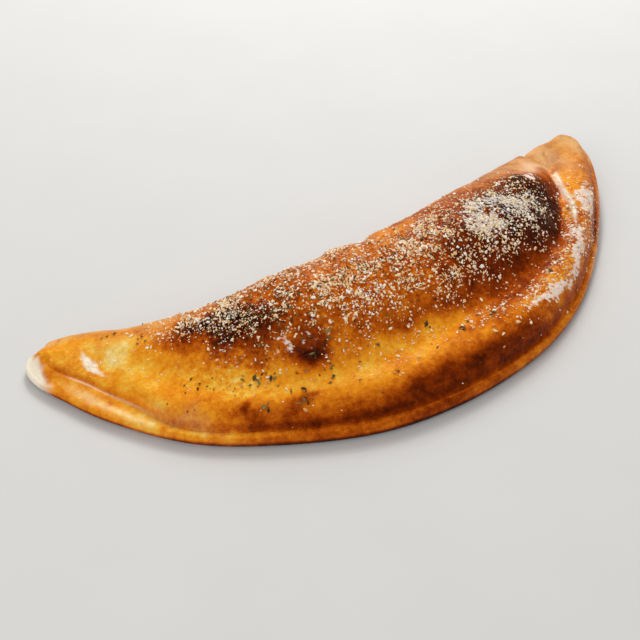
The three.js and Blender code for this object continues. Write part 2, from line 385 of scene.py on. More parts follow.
@dataclass(frozen=True)
class CalzoneForm:
    """Sizes of the calzone and the height of its crust."""

    sealed_edge: PlanCurve = PlanCurve((
        (10, 10.5), (3, 8), (-0.5, 1), (0.6, -10), (9, -28), (21, -49.8), (51.5, -86), (90, -109.5),
        (134, -126), (172, -129.7), (208, -126.2), (243.6, -116.6), (278.1, -98), (308, -73.5),
        (334.5, -45.4), (352, -21), (361.5, -3), (364, 8), (361, 17), (353, 22.5), (342, 21.5),
    ))
    fold_edge: PlanCurve = PlanCurve((
        (10, 10.5), (28, 7), (55, -7.5), (95, -20), (145, -22), (210, -13), (272, 3), (313, 15),
        (342, 21.5),
    ))
    melt_line: PlanCurve = PlanCurve(
        ((236, -97), (262, -90), (284, -75), (300, -61), (312, -44.5), (319, -27), (325.5, -12)), 60
    )
    crown_height: SizeAlong = SizeAlong((
        (0, 10), (25, 12), (45, 17), (75, 27), (140, 44), (205, 42), (270, 34.5), (310, 21), (338, 10),
    ))
    bead_height: SizeAlong = SizeAlong(
        ((0, 2), (14, 2.8), (34, 2.5), (60, 1.9), (130, 1.5), (364, 0.9))
    )
    bead_width: SizeAlong = SizeAlong((
        (0, 7.6), (14, 8.8), (22, 10), (30, 8.4), (40, 6.6), (50, 5), (110, 4.8), (200, 4.2),
        (364, 3.6),
    ))
    seam_width: SizeAlong = SizeAlong((
        (0, 7.8), (14, 9.5), (26, 11.5), (32, 11.6), (37, 10.9), (41, 8.9), (45, 6.2), (50, 5),
        (60, 4.8), (130, 4.5), (200, 3.6), (364, 2.8),
    ))
    roll_height: SizeAlong = SizeAlong(
        ((0, 5), (40, 11), (110, 16), (200, 19), (300, 18), (340, 14), (364, 11))
    )
    roll_width: SizeAlong = SizeAlong((
        (0, 14), (40, 26), (110, 42), (200, 42), (240, 36), (270, 27), (312, 23), (328, 32), (364, 38),
    ))
    groove_inset: SizeAlong = SizeAlong((
        (0, 2), (20, 4), (45, 14), (110, 21), (200, 25), (230, 24), (260, 16), (285, 10.5), (312, 10),
        (325, 19), (364, 28),
    ))
    groove_softness: SizeAlong = SizeAlong(
        ((0, 3), (60, 8), (150, 16), (225, 12), (275, 4), (305, 2.5), (325, 1.4), (364, 1.4))
    )
    foot_height: float = 4
    foot_inset: float = 3.5
    seam_fill: float = 0.9
    seam_fade: float = 12
    roll_crest: SizeAlong = SizeAlong(((0, 0.42), (316, 0.42), (340, 0.3), (364, 0.3)))
    roll_fade: float = 10
    crease_softness: float = 2
    belly_skew: float = 1.35
    belly_fullness: float = 2.15
    belly_end_run: float = 26
    belly_end_power: float = 0.6
    least_width: float = 1e-3
    upturn_start: float = 285
    upturn_end: float = 364
    upturn_height: float = 9
    relief_fade: float = 8
    relief: tuple[Patch, ...] = (
        Patch((11, 4), (6, 7), 0, 2.2),
        Patch((32, -27), (6, 14), 20, -2),
        Patch((92, -55), (16, 12), 20, 2),
        Patch((135, -62), (26, 16), 10, 2.5),
        Patch((141, -40), (10, 10), 0, -1.6),
        Patch((162, -22), (10, 9), 0, 4.5),
        Patch((179, -30), (4, 12), 10, -5),
        Patch((190, -60), (20, 14), 0, -1.5),
        Patch((245, -45), (30, 16), 12, 2.5),
        Patch((298, -24), (20, 12), 20, 2.5),
        Patch((346, 16), (15, 7), 10, 3),
        Patch((358, 8), (6, 8), 0, 1.5),
        Patch((342, -4), (7, 11), 25, -3),
    )
    pleats: tuple[Pleat, ...] = (
        Pleat((151, -44), 75, 14, 12, 2.0),
        Pleat((174, -46), 74, 12, 12, 1.6),
    )

    def insets(self, x: np.ndarray, y: np.ndarray) -> Insets:
        """Measures how far plan places lie from the edges.

        Args:
            x: Plan places along the length.
            y: Plan places across it.

        Returns:
            The places with their insets.
        """
        from_seal = distance_to(self.sealed_edge.line(), x, y)
        return Insets(
            x,
            y,
            from_seal,
            distance_to(self.fold_edge.line(), x, y),
            from_seal - self.groove_inset.at(x),
            distance_to(self.melt_line.line(), x, y),
        )

    def underside(self, x: np.ndarray) -> np.ndarray:
        """Height of the underside, flat but for the upturned right tip."""
        t = np.clip((x - self.upturn_start) / (self.upturn_end - self.upturn_start), 0, 1)
        return self.upturn_height * t * t

    def roll(self, place: Insets) -> np.ndarray:
        """Rolled edge, with its crest nearer the sealed side.

        Args:
            place: Places on the crust.

        Returns:
            Its height at each place.
        """
        t = (place.from_seal - self.seam_width.at(place.x)) / self.roll_width.at(place.x)
        t = np.clip(t, 0, 1)
        crest = self.roll_crest.at(place.x)
        off_crest = np.where(t < crest, t / crest - 1, (t - crest) / (1 - crest))
        profile = np.sqrt(np.maximum(0, 1 - off_crest**2))
        return self.roll_height.at(place.x) * profile * round_rise(place.from_fold / self.roll_fade)

    def bead(self, place: Insets) -> np.ndarray:
        """Bead at the foot of the sealed side, and the flat seam behind it.

        Args:
            place: Places on the crust.

        Returns:
            Their height at each place.
        """
        half = self.bead_width.at(place.x) / 2
        height = self.bead_height.at(place.x)
        across = np.clip(place.from_seal / half - 1, -1, 1)
        seam = round_rise(place.from_seal / half) * round_rise(place.from_fold / self.seam_fade)
        return np.maximum(height * np.sqrt(1 - across**2), self.seam_fill * height * seam)

    def belly(self, place: Insets) -> np.ndarray:
        """Filled belly, a super-ellipse between the groove and the fold.

        Args:
            place: Places on the crust.

        Returns:
            Its height at each place.
        """
        inside = np.maximum(0, place.from_groove)
        share = (inside / np.maximum(inside + place.from_fold, self.least_width)) ** self.belly_skew
        power = self.belly_fullness
        section = np.maximum(0, 1 - np.abs(2 * share - 1) ** power) ** (1 / power)
        end = round_rise(inside / self.belly_end_run) ** self.belly_end_power
        return self.crown_height.at(place.x) * section * end

    def crust(self, place: Insets) -> np.ndarray:
        """Upper crust, with all its forms joined.

        Args:
            place: Places on the crust.

        Returns:
            Its height above the rest face at each place.
        """
        edge = soft_max(self.bead(place), self.roll(place), self.crease_softness)
        dome = soft_max(edge, self.belly(place), self.groove_softness.at(place.x))
        nearest = np.minimum(place.from_seal, place.from_fold)
        relief = sum_over(self.relief + self.pleats, place.x, place.y)
        relief = relief * round_rise(nearest / self.relief_fade)
        return self.foot_height + self.underside(place.x) + dome * round_rise(nearest) + relief


@dataclass(frozen=True)
class BakedRelief:
    """Fine relief of the baked dough, on top of the calzone's form."""

    belly: Rise = Rise(0, 16)
    edge_fade: float = 5
    lumps: tuple[tuple[float, float], ...] = ((14, 0.55), (7, 0.3), (3.5, 0.12))
    lumps_off_belly: float = 0.3
    blister_size: float = 3.2
    blister_height: float = 0.5
    blister_sink: float = 0.3
    most_blistered: float = 1.2
    blistered: tuple[Patch, ...] = (
        Patch((90, -55), (26, 14), -35, 1),
        Patch((115, -79), (15, 8), -20, 1.2),
        Patch((265, -48), (48, 24), 10, 0.9),
        Patch((305, -30), (12, 22), -20, 0.9),
    )
    stretch: Patch = Patch((86, -66), (20, 11), -45, 1)
    stretch_spacing: float = 3.1
    stretch_height: float = 0.32
    wrinkled: Patch = Patch((318, -54), (34, 12), 48, 1)
    wrinkle_spacing: float = 2.6
    wrinkle_height: float = 0.28
    streak_slimness: float = 6
    crease_depth: float = 0.9
    crease_width: float = 0.9
    crease_above_seam: float = 0.6
    crease_from_fold: Rise = Rise(6, 20)
    crease_deep_end: Rise = Rise(78, 50)
    crease_shallow: float = 0.3
    crease_along: Rise = Rise(240, 180)
    crack: PlanCurve = PlanCurve(((325, -13), (328.5, -4), (331, 5)), 20)
    crack_depth: float = 1.6
    crack_width: float = 0.8
    melt_height: float = 1.1
    melt_width: float = 1.4
    melt_along: Rise = Rise(280, 300)
    lobes: tuple[Patch, ...] = (
        Patch((186, -33), (5, 9), -25, 0.8),
        Patch((118, -48), (8, 4), 30, 0.7),
    )

    def height(self, form: CalzoneForm, place: Insets) -> np.ndarray:
        """Height that the relief adds to the crust.

        Args:
            form: The calzone's form.
            place: Places on the crust.

        Returns:
            The added height at each place.
        """
        x, y = place.x, place.y
        nearest = np.minimum(place.from_seal, place.from_fold)
        on_belly = from_share(self.lumps_off_belly, self.belly.at(place.from_groove))
        added = np.zeros(np.shape(x))
        for number, (size, height) in enumerate(self.lumps):
            added += height * lattice_noise(x, y, size, Seed.LUMPS + number) * on_belly
        blistered = np.clip(sum_over(self.blistered, x, y), 0, self.most_blistered)
        bubbles = 1 - np.abs(lattice_noise(x, y, self.blister_size, Seed.BLISTERS))
        added += self.blister_height * blistered * (bubbles**3 - self.blister_sink)
        added += sum_over(self.lobes, x, y)
        added += self._streaks(self.stretch, self.stretch_spacing, x, y) * self.stretch_height
        added += self._streaks(self.wrinkled, self.wrinkle_spacing, x, y) * self.wrinkle_height
        off_crease = place.from_seal - form.seam_width.at(x) - self.crease_above_seam
        crease = bell(off_crease, self.crease_width) * self.crease_from_fold.at(place.from_fold)
        deep = from_share(self.crease_shallow, self.crease_deep_end.at(x))
        added -= self.crease_depth * crease * deep * self.crease_along.at(x)
        added -= self.crack_depth * bell(distance_to(self.crack.line(), x, y), self.crack_width)
        added += self.melt_height * bell(place.from_melt, self.melt_width) * self.melt_along.at(x)
        return added * round_rise(nearest / self.edge_fade)

    def _streaks(self, where: Patch, spacing: float, x: np.ndarray, y: np.ndarray) -> np.ndarray:
        """Fine ridges along a patch's own direction.

        Args:
            where: The patch.
            spacing: Distance between ridges.
            x: Plan places along the length.
            y: Plan places across it.

        Returns:
            The ridges at each place, from -1 to 1.
        """
        along, across = turned(x, y, where.turn)
        slim = self.streak_slimness
        return lattice_noise(across * slim, along, slim * spacing, Seed.STREAKS) * where.over(x, y)


# --------------------------------------------------------------------------------------------
# How the crust baked, and its painted shade and highlights
# --------------------------------------------------------------------------------------------


@dataclass(frozen=True)
class BakeMap:
    """How far each place of the crust baked, what lies on it, and where shade and highlights are painted
    into its colour.

    The bake level runs from 0, raw pale dough, to 1, charred; painted shade on the roll's front, the lip,
    the crease and the foot raises it too.
    """

    plain: float = 0.36
    darkest: float = 0.95
    warp: float = 3.5
    warp_size: float = 12
    warp_finer: float = 2.6
    wander: float = 3
    wander_size: float = 15
    belly_browning: float = 0.22
    belly_across: Rise = Rise(7, 17)
    belly_along: Rise = Rise(58, 92)
    # The roll's front is darker: partly browning, partly painted shade where the light from behind doesn't
    # reach.
    roll_browning_and_shade: float = 0.42
    roll_brown_at: SizeAlong = SizeAlong((
        (45, 5), (60, 4.5), (90, 2.5), (115, 1), (145, 4), (170, 6.5), (210, 3.5), (260, 2),
    ))
    roll_brown_from: SizeAlong = SizeAlong((
        (45, 0), (80, -0.5), (130, -0.3), (155, -2.2), (190, -1.6), (218, -2), (364, -1.5),
    ))
    roll_brown_width: float = 6.5
    roll_brown_edge: Rise = Rise(-0.8, 0.8)
    roll_brown_along: Rise = Rise(54, 82)
    roll_brown_left: float = 0.75
    roll_brown_fuller: Rise = Rise(110, 170)
    roll_brown_lost: float = 0.6
    roll_brown_fade: Rise = Rise(218, 256)
    # The lip is darker: some browning, and painted shade because the lip faces away from the light.
    lip_browning_and_shade: float = 0.23
    lip_edge: Rise = Rise(0.6, -0.6)
    lip_along: Rise = Rise(56, 112)
    # Painted shade that darkens the foot just above the floor.
    foot_painted_shade: float = 0.40
    foot_fade: float = 1.5
    foot_lost: float = 0.5
    # Painted shade darkening the crease above the seam.
    crease_painted_shade: float = 0.12
    crease_above_seam: float = 0.9
    crease_along: Rise = Rise(8, 18)
    strip_browning: float = 0.03
    strip_edge: Rise = Rise(0, -1)
    strip_along: Rise = Rise(40, 12)
    stripe_paleness: float = 0.15
    stripe_width: float = 2.3
    stripe_waver: float = 0.6
    stripe_gaps: Rise = Rise(-0.45, 0.1)
    stripe_start: Rise = Rise(8, 20)
    stripe_end: Rise = Rise(90, 60)
    rim_paleness: float = 0.10
    rim_inset: float = 0.2
    rim_width: float = 1.0
    rim_along: Rise = Rise(185, 240)
    fold_rim_sheen: Rise = Rise(11, 2)
    off_rim: Rise = Rise(3.5, 6.5)
    melt_width: float = 1.3
    melt_along: Rise = Rise(300, 306)
    # Painted highlight: a white patch near the left tip, painted in cream.
    painted_highlight_patch: Patch = Patch((26.4, -21), (2.8, 11), 10, 1)
    painted_highlight_bend: float = 0.02
    painted_highlight_edge: Rise = Rise(0.32, 0.6)
    tip_edge: Rise = Rise(8.5, 3.5)
    tip_across: Rise = Rise(-24, -10)
    pale_above_base: Rise = Rise(0.5, 2.5)
    zones: tuple[Patch, ...] = (
        # left end
        Patch((12, -8), (9, 12), -10, 0.06),
        Patch((36, -26), (7, 7), -40, -0.22),
        Patch((30, -10), (8, 6), -20, -0.10),
        Patch((30, -26), (3, 8), 15, 0.06),
        Patch((46, -44), (16, 16), -30, -0.07),
        Patch((24, -42), (16, 3.5), -52, 0.05),
        Patch((49, -72), (22, 3.2), -49, 0.04),
        Patch((54, -66), (8, 9), 0, 0.09),
        Patch((43, -67), (6, 6), -50, -0.13),
        Patch((68, -86), (12, 5), -35, 0.06),
        Patch((56, -89), (20, 3), -42, 0.09),
        # painted shade at the foot
        Patch((46, -80), (6, 4), -45, 0.08),
        Patch((8, -17), (5, 5), 0, -0.06),
        Patch((32, -47), (7, 4), -52, 0.05),
        Patch((42, -12), (12, 5), -30, 0.10),
        Patch((55, -22), (12, 6), -28, 0.08),
        # dark zone over the left shoulder
        Patch((68, -41), (15, 7), -24, 0.30),
        Patch((88, -52), (21, 9.5), -28, 0.36),
        Patch((88, -39), (12, 5), -20, -0.08),
        Patch((100, -62), (14, 7), -30, 0.14),
        Patch((80, -71), (17, 7), -40, -0.12),
        Patch((72, -50), (8, 6), -30, 0.06),
        Patch((118, -82.5), (9, 4.5), -15, 0.46),
        Patch((107, -77), (6, 4), -20, -0.10),
        Patch((131, -82), (8, 5), -10, -0.08),
        Patch((142, -86), (9, 5), 0, 0.05),
        Patch((112, -50), (15, 11), -10, 0.04),
        # middle
        Patch((150, -99), (40, 7), -4, -0.08),
        Patch((165, -91), (10, 4), -5, 0.12),
        Patch((190, -38), (14, 9), -10, -0.12),
        Patch((160, -36), (9, 8), -20, -0.08),
        Patch((178, -65), (10, 7), 0, 0.07),
        Patch((197, -85), (10, 7), 0, 0.10),
        Patch((216, -62), (14, 20), 0, 0.12),
        Patch((222, -70), (18, 9), 0, 0.08),
        Patch((188, -105), (28, 8), 0, 0.10),
        Patch((215, -103), (26, 7), 12, 0.13),
        Patch((226, -89), (20, 8), 14, 0.16),
        Patch((138, -22), (36, 8), 0, 0.06),
        Patch((250, -79), (32, 9), 16, 0.18),
        # dark zone towards the right end
        Patch((262, -45), (36, 16), 8, 0.30),
        Patch((262, -63), (40, 9), 6, 0.22),
        Patch((296, -42), (13, 24), -20, 0.30),
        Patch((280, -27), (26, 8), 12, 0.16),
        Patch((262, -22), (14, 5), 12, -0.08),
        Patch((315, -25), (3.5, 9), -15, 0.18),
        Patch((276, -56), (12, 7), 10, 0.08),
        Patch((240, -93), (18, 6), 16, 0.16),
        Patch((264, -80), (22, 6), 22, 0.19),
        Patch((273, -78), (8, 4.5), 30, 0.10),
        Patch((220, -48), (8, 6), 0, -0.06),
        Patch((182, -38), (9, 6), 0, -0.08),
        Patch((212, -79), (8, 5), 0, 0.08),
        Patch((310, -44), (2.4, 16), -28, -0.20),
        Patch((308, -5), (18, 8), 20, -0.24),
        # browned spots on the rolled edge
        Patch((80, -89), (4, 3.4), 0, 0.20),
        Patch((74, -82), (7, 5), 0, -0.08),
        Patch((104, -100), (7, 4), -10, 0.30),
        Patch((91, -103), (7, 5), 0, -0.10),
        Patch((172, -126), (26, 4), 0, 0.12),
        Patch((184, -119), (12, 4), 0, -0.07),
        Patch((142, -119), (11, 4), -8, -0.07),
        # darker at the foot here: partly browning, partly painted shade
        Patch((81, -105), (12, 3.5), -25, 0.22),
        Patch((88, -92), (7, 4), -20, -0.05),
        Patch((70, -90), (7, 4), -40, -0.08),
        Patch((136, -98), (10, 6), 0, 0.05),
        Patch((306, -70), (12, 4), 45, -0.08),
        Patch((328, -50), (26, 3.5), 55, 0.14),
        # flap
        Patch((334, -6), (8, 16), 10, 0.12),
        Patch((330, -6), (3, 9), 10, 0.10),
        Patch((340, 9), (8, 4), 20, 0.10),
        Patch((354, 2), (5, 14), 22, -0.10),
    )
    # Dull floury colour, partly the dough's own and partly painted sheen of the back light along the fold
    # and on the crease.
    tan_and_rim_sheen_zones: tuple[Patch, ...] = (
        Patch((100, -26), (50, 9), -8, 0.75),
        Patch((180, -24), (40, 8), 6, 0.35),
        Patch((290, -3), (46, 12), 20, 1.0),
        Patch((334, -6), (10, 18), 10, 0.95),
        Patch((355, 2), (9, 26), 20, 0.95),
        Patch((60, -12), (20, 6), -28, 0.4),
        Patch((52, -76), (16, 3), -49, 0.4),
    )
    oily: tuple[Patch, ...] = (
        Patch((112, -77), (16, 8), -15, 1.0),
        Patch((25, -22), (10, 14), 10, 0.7),
        Patch((320, -44), (24, 7), 55, 1.0),
        Patch((272, -84), (40, 7), 28, 1.0),
        Patch((49, -72), (24, 5), -49, 0.5),
        Patch((265, -45), (44, 20), 8, 0.9),
        Patch((90, -50), (26, 14), -28, 0.7),
        Patch((165, -52), (50, 20), 0, 0.6),
        Patch((120, -102), (70, 8), -8, 0.3),
    )
    dusted: tuple[Patch, ...] = (
        Patch((84, -48), (18, 8), -28, 0.6),
        Patch((78, -68), (20, 12), -38, 0.3),
        Patch((155, -64), (45, 20), 0, 0.35),
        Patch((215, -55), (30, 18), 0, 0.3),
        Patch((262, -42), (32, 15), 8, 0.5),
        Patch((268, -90), (34, 5), 26, 0.5),
    )
    floury: tuple[Patch, ...] = (
        Patch((312, -6), (15, 5), 22, 0.36),
    )
    # Painted sheen: pale highlights of the lamp, painted into the crust's colour.
    painted_sheen_zones: tuple[Patch, ...] = (
        Patch((107, -77), (5, 4), -35, 1.0),
        Patch((119, -78.5), (4.5, 1.6), -15, 0.8),
        Patch((300, -19), (9, 4), 25, 1.0),
        Patch((325, -44), (5.5, 13), -30, 1.7),
        Patch((296, -70), (6, 9), -42, 1.4),
        Patch((285, -83), (4.5, 9), -52, 1.4),
        Patch((274, -91), (3, 6), -56, 0.8),
        Patch((258, -98), (3.4, 13), -62, 1.5),
        Patch((240, -102.5), (2.4, 9), -74, 1.2),
        Patch((178, -64), (5, 3), -35, 0.7),
        Patch((206, -44), (7, 4), 0, 0.7),
        Patch((126, -42), (6, 4), -10, 0.9),
    )
    # Strands of melted cheese, together with painted glints of the lamp on the wet crust.
    lace_and_glint_zones: tuple[Patch, ...] = (
        Patch((266, -46), (26, 9), 6, 0.9),
        Patch((246, -42), (14, 6), 8, 1.0),
        Patch((244, -58), (16, 10), -20, 1.3),
        Patch((210, -50), (10, 8), 0, 0.35),
        Patch((284, -42), (12, 6), 20, 0.6),
        Patch((296, -70), (18, 9), 42, 0.75),
        Patch((150, -56), (26, 12), 0, 0.3),
        Patch((154, -75), (13, 6), 0, 0.4),
        Patch((126, -56), (12, 8), -20, 0.35),
        Patch((92, -48), (18, 8), -28, 0.5),
        Patch((85, -63), (12, 7), -32, 0.6),
        Patch((106, -62), (10, 6), -30, 0.45),
        Patch((98, -36), (28, 7), -12, 0.6),
        Patch((184, -66), (24, 12), 0, 0.2),
    )

    def warped(self, place: Insets) -> tuple[np.ndarray, np.ndarray]:
        """Shifts plan places by a slow noise, so that no zone ends in a plain oval.

        Args:
            place: Places on the crust.

        Returns:
            The shifted places along and across the length.
        """

        def shift(slow: Seed, quick: Seed) -> np.ndarray:
            """Shift along one axis, from a slow noise and a quick one."""
            finer = lattice_noise(place.x, place.y, self.warp_size / self.warp_finer, quick)
            return self.warp * (lattice_noise(place.x, place.y, self.warp_size, slow) + 0.5 * finer)

        x = place.x + shift(Seed.WARP_X, Seed.WARP_X_FINE)
        return x, place.y + shift(Seed.WARP_Y, Seed.WARP_Y_FINE)

    def bake(self, form: CalzoneForm, place: Insets) -> np.ndarray:
        """How far each place baked, with painted shade on the roll's front, the lip and the crease added
        in.

        Args:
            form: The calzone's form.
            place: Places on the crust.

        Returns:
            The bake at each place, from 0 to 1.
        """
        x, y = self.warped(place)
        wander = self.wander * lattice_noise(place.x, place.y, self.wander_size, Seed.WANDER)
        belly = self.belly_across.at(place.from_groove + wander) * self.belly_along.at(x)
        level = self.plain + self.belly_browning * belly
        above_seam = place.from_seal - form.seam_width.at(place.x)
        # Darker band on the roll's front: partly browning, partly painted shade.
        brown_and_shaded_side = bell(above_seam + 0.5 * wander - self.roll_brown_at.at(x), self.roll_brown_width)
        fuller = from_share(self.roll_brown_left, self.roll_brown_fuller.at(x))
        along = self.roll_brown_along.at(x) * fuller
        along *= 1 - self.roll_brown_lost * self.roll_brown_fade.at(x)
        start = above_seam - self.roll_brown_from.at(x)
        level += self.roll_browning_and_shade * brown_and_shaded_side * along * self.roll_brown_edge.at(start)
        # Darker lip: some browning, and painted shade.
        level += self.lip_browning_and_shade * self.lip_edge.at(start) * self.lip_along.at(x)
        # Painted shade in the crease.
        crease = bell(above_seam - self.crease_above_seam, 1.0)
        level += self.crease_painted_shade * crease * self.crease_along.at(x)
        level += self.strip_browning * self.strip_edge.at(above_seam) * self.strip_along.at(x)
        level -= self.stripe_paleness * self._bead_stripe(form, place)
        level -= self.rim_paleness * self._rim(place)
        return np.clip(level + sum_over(self.zones, x, y), 0, self.darkest)

    def foot(self, form: CalzoneForm, x: np.ndarray, above_base: np.ndarray) -> np.ndarray:
        """Painted shade that darkens the foot just above the floor, added to the bake level.

        Args:
            form: The calzone's form.
            x: Places along the length.
            above_base: Their height above the underside.

        Returns:
            The added bake at each place.
        """
        low = smooth_step(above_base, form.foot_height + self.foot_fade, self.foot_fade)
        return self.foot_painted_shade * low * (1 - self.foot_lost * self.rim_along.at(x))

    def _bead_stripe(self, form: CalzoneForm, place: Insets) -> np.ndarray:
        """Pale broken stripe along the crest of the bead at the left end: partly paler dough, partly a
        painted highlight.

        Args:
            form: The calzone's form.
            place: Places on the crust.

        Returns:
            How plain the stripe is at each place.
        """
        x, y = place.x, place.y
        waver = self.stripe_waver * lattice_noise(x, y, 5, Seed.STRIPE_WAVER)
        off_crest = place.from_seal - 0.5 * form.bead_width.at(x) + waver
        present = self.stripe_gaps.at(lattice_noise(x, y, 9, Seed.STRIPE_GAPS))
        stripe = bell(off_crest, self.stripe_width) * present
        return stripe * self.stripe_end.at(x) * self.stripe_start.at(x)

    def _rim(self, place: Insets) -> np.ndarray:
        """Thin pale rim of the sealed edge towards the right end, which caught little heat."""
        return bell(place.from_seal - self.rim_inset, self.rim_width) * self.rim_along.at(place.x)

    def tan(self, place: Insets) -> np.ndarray:
        """How dull and floury each place looks, from 0 to 1: dough away from the heat, and painted sheen
        of the back light along the fold and on the crease.
        """
        zones = sum_over(self.tan_and_rim_sheen_zones, *self.warped(place))
        return np.clip(zones + 0.7 * self.fold_rim_sheen.at(place.from_fold), 0, 1)

    def oil(self, place: Insets) -> np.ndarray:
        """How oily each place is, from 0 to 1."""
        return np.clip(sum_over(self.oily, *self.warped(place)), 0, 1)

    def dust(self, place: Insets) -> np.ndarray:
        """How much fine cheese powder lies at each place, from 0 to 1."""
        return np.clip(sum_over(self.dusted, *self.warped(place)), 0, 1)

    def painted_sheen(self, place: Insets) -> np.ndarray:
        """Painted sheen: where pale highlights of the lamp are painted into the colour, from 0 to 1.2."""
        zones = sum_over(self.painted_sheen_zones, *self.warped(place))
        return np.clip(zones, 0, 1.2) * self.off_rim.at(place.from_seal)

    def lace_and_glints(self, place: Insets) -> np.ndarray:
        """How much of the crust is covered by thin strands of melted cheese and by painted glints of the
        lamp.

        Args:
            place: Places on the crust.

        Returns:
            The cover at each place, from 0 to 1.1.
        """
        x, y = place.x, place.y
        patchy = 0.75 + 0.5 * lattice_noise(x, y, 8, Seed.LACE)
        patchy += 0.35 * lattice_noise(x, y, 3.2, Seed.LACE_FINE)
        return np.clip(sum_over(self.lace_and_glint_zones, x, y) * patchy, 0, 1.1) * self.off_rim.at(place.from_seal)

    def pale(self, form: CalzoneForm, place: Insets) -> np.ndarray:
        """Where the dough stayed raw and cream, or a film of cheese lies on it, with painted highlights in
        cream added: the white patch near the left tip, the line along the crease and part of the bead's
        stripe; from 0 to 1.

        Args:
            form: The calzone's form.
            place: Places on the crust.

        Returns:
            The paleness at each place.
        """
        x, y = place.x, place.y
        broken = 0.85 + 0.3 * lattice_noise(x, y, 4, Seed.FILM)
        level = 1.15 * bell(place.from_melt, self.melt_width) * self.melt_along.at(x) * broken
        # Painted highlight: the white patch near the left tip.
        patch = self.painted_highlight_patch.over(x - self.painted_highlight_bend * (y - self.painted_highlight_patch.at[1]) ** 2, y)
        patch = self.painted_highlight_edge.at(patch + 0.25 * lattice_noise(x, y, 2.5, Seed.RAW_EDGE))
        level += patch * (0.8 + 0.25 * lattice_noise(x, y, 1.5, Seed.RAW_FINE))
        tip = self.tip_edge.at(x + 1.6 * lattice_noise(x, y, 3, Seed.TIP)) * self.tip_across.at(y)
        level += 0.92 * tip
        level += 0.25 * self._bead_stripe(form, place) * smooth_step(x, 50, 24)
        above_seam = place.from_seal - form.seam_width.at(x)
        # Painted highlight: a thin pale line along the crease's edge.
        edge = bell(above_seam + 0.2, 0.55) * smooth_step(x, 13, 18) * smooth_step(x, 44, 36)
        level += 0.45 * edge * smooth_step(place.from_fold, 5, 9)
        level += 0.35 * self._rim(place) * smooth_step(x, 270, 315) * smooth_step(x, 358, 338) * broken
        return np.clip(level + sum_over(self.floury, *self.warped(place)), 0, 1)


# --------------------------------------------------------------------------------------------
# Finishes
# --------------------------------------------------------------------------------------------


def srgb(red: int, green: int, blue: int) -> Colour:
    """Turns a display colour into the linear colour that the shader takes.

    Args:
        red: Its red, from 0 to 255.
        green: Its green.
        blue: Its blue.

    Returns:
        The linear colour.
    """

    def linear(value: int) -> float:
        """One channel as a linear share."""
        share = value / 255
        return share / 12.92 if share <= 0.04045 else ((share + 0.055) / 1.055) ** 2.4

    return (linear(red), linear(green), linear(blue))


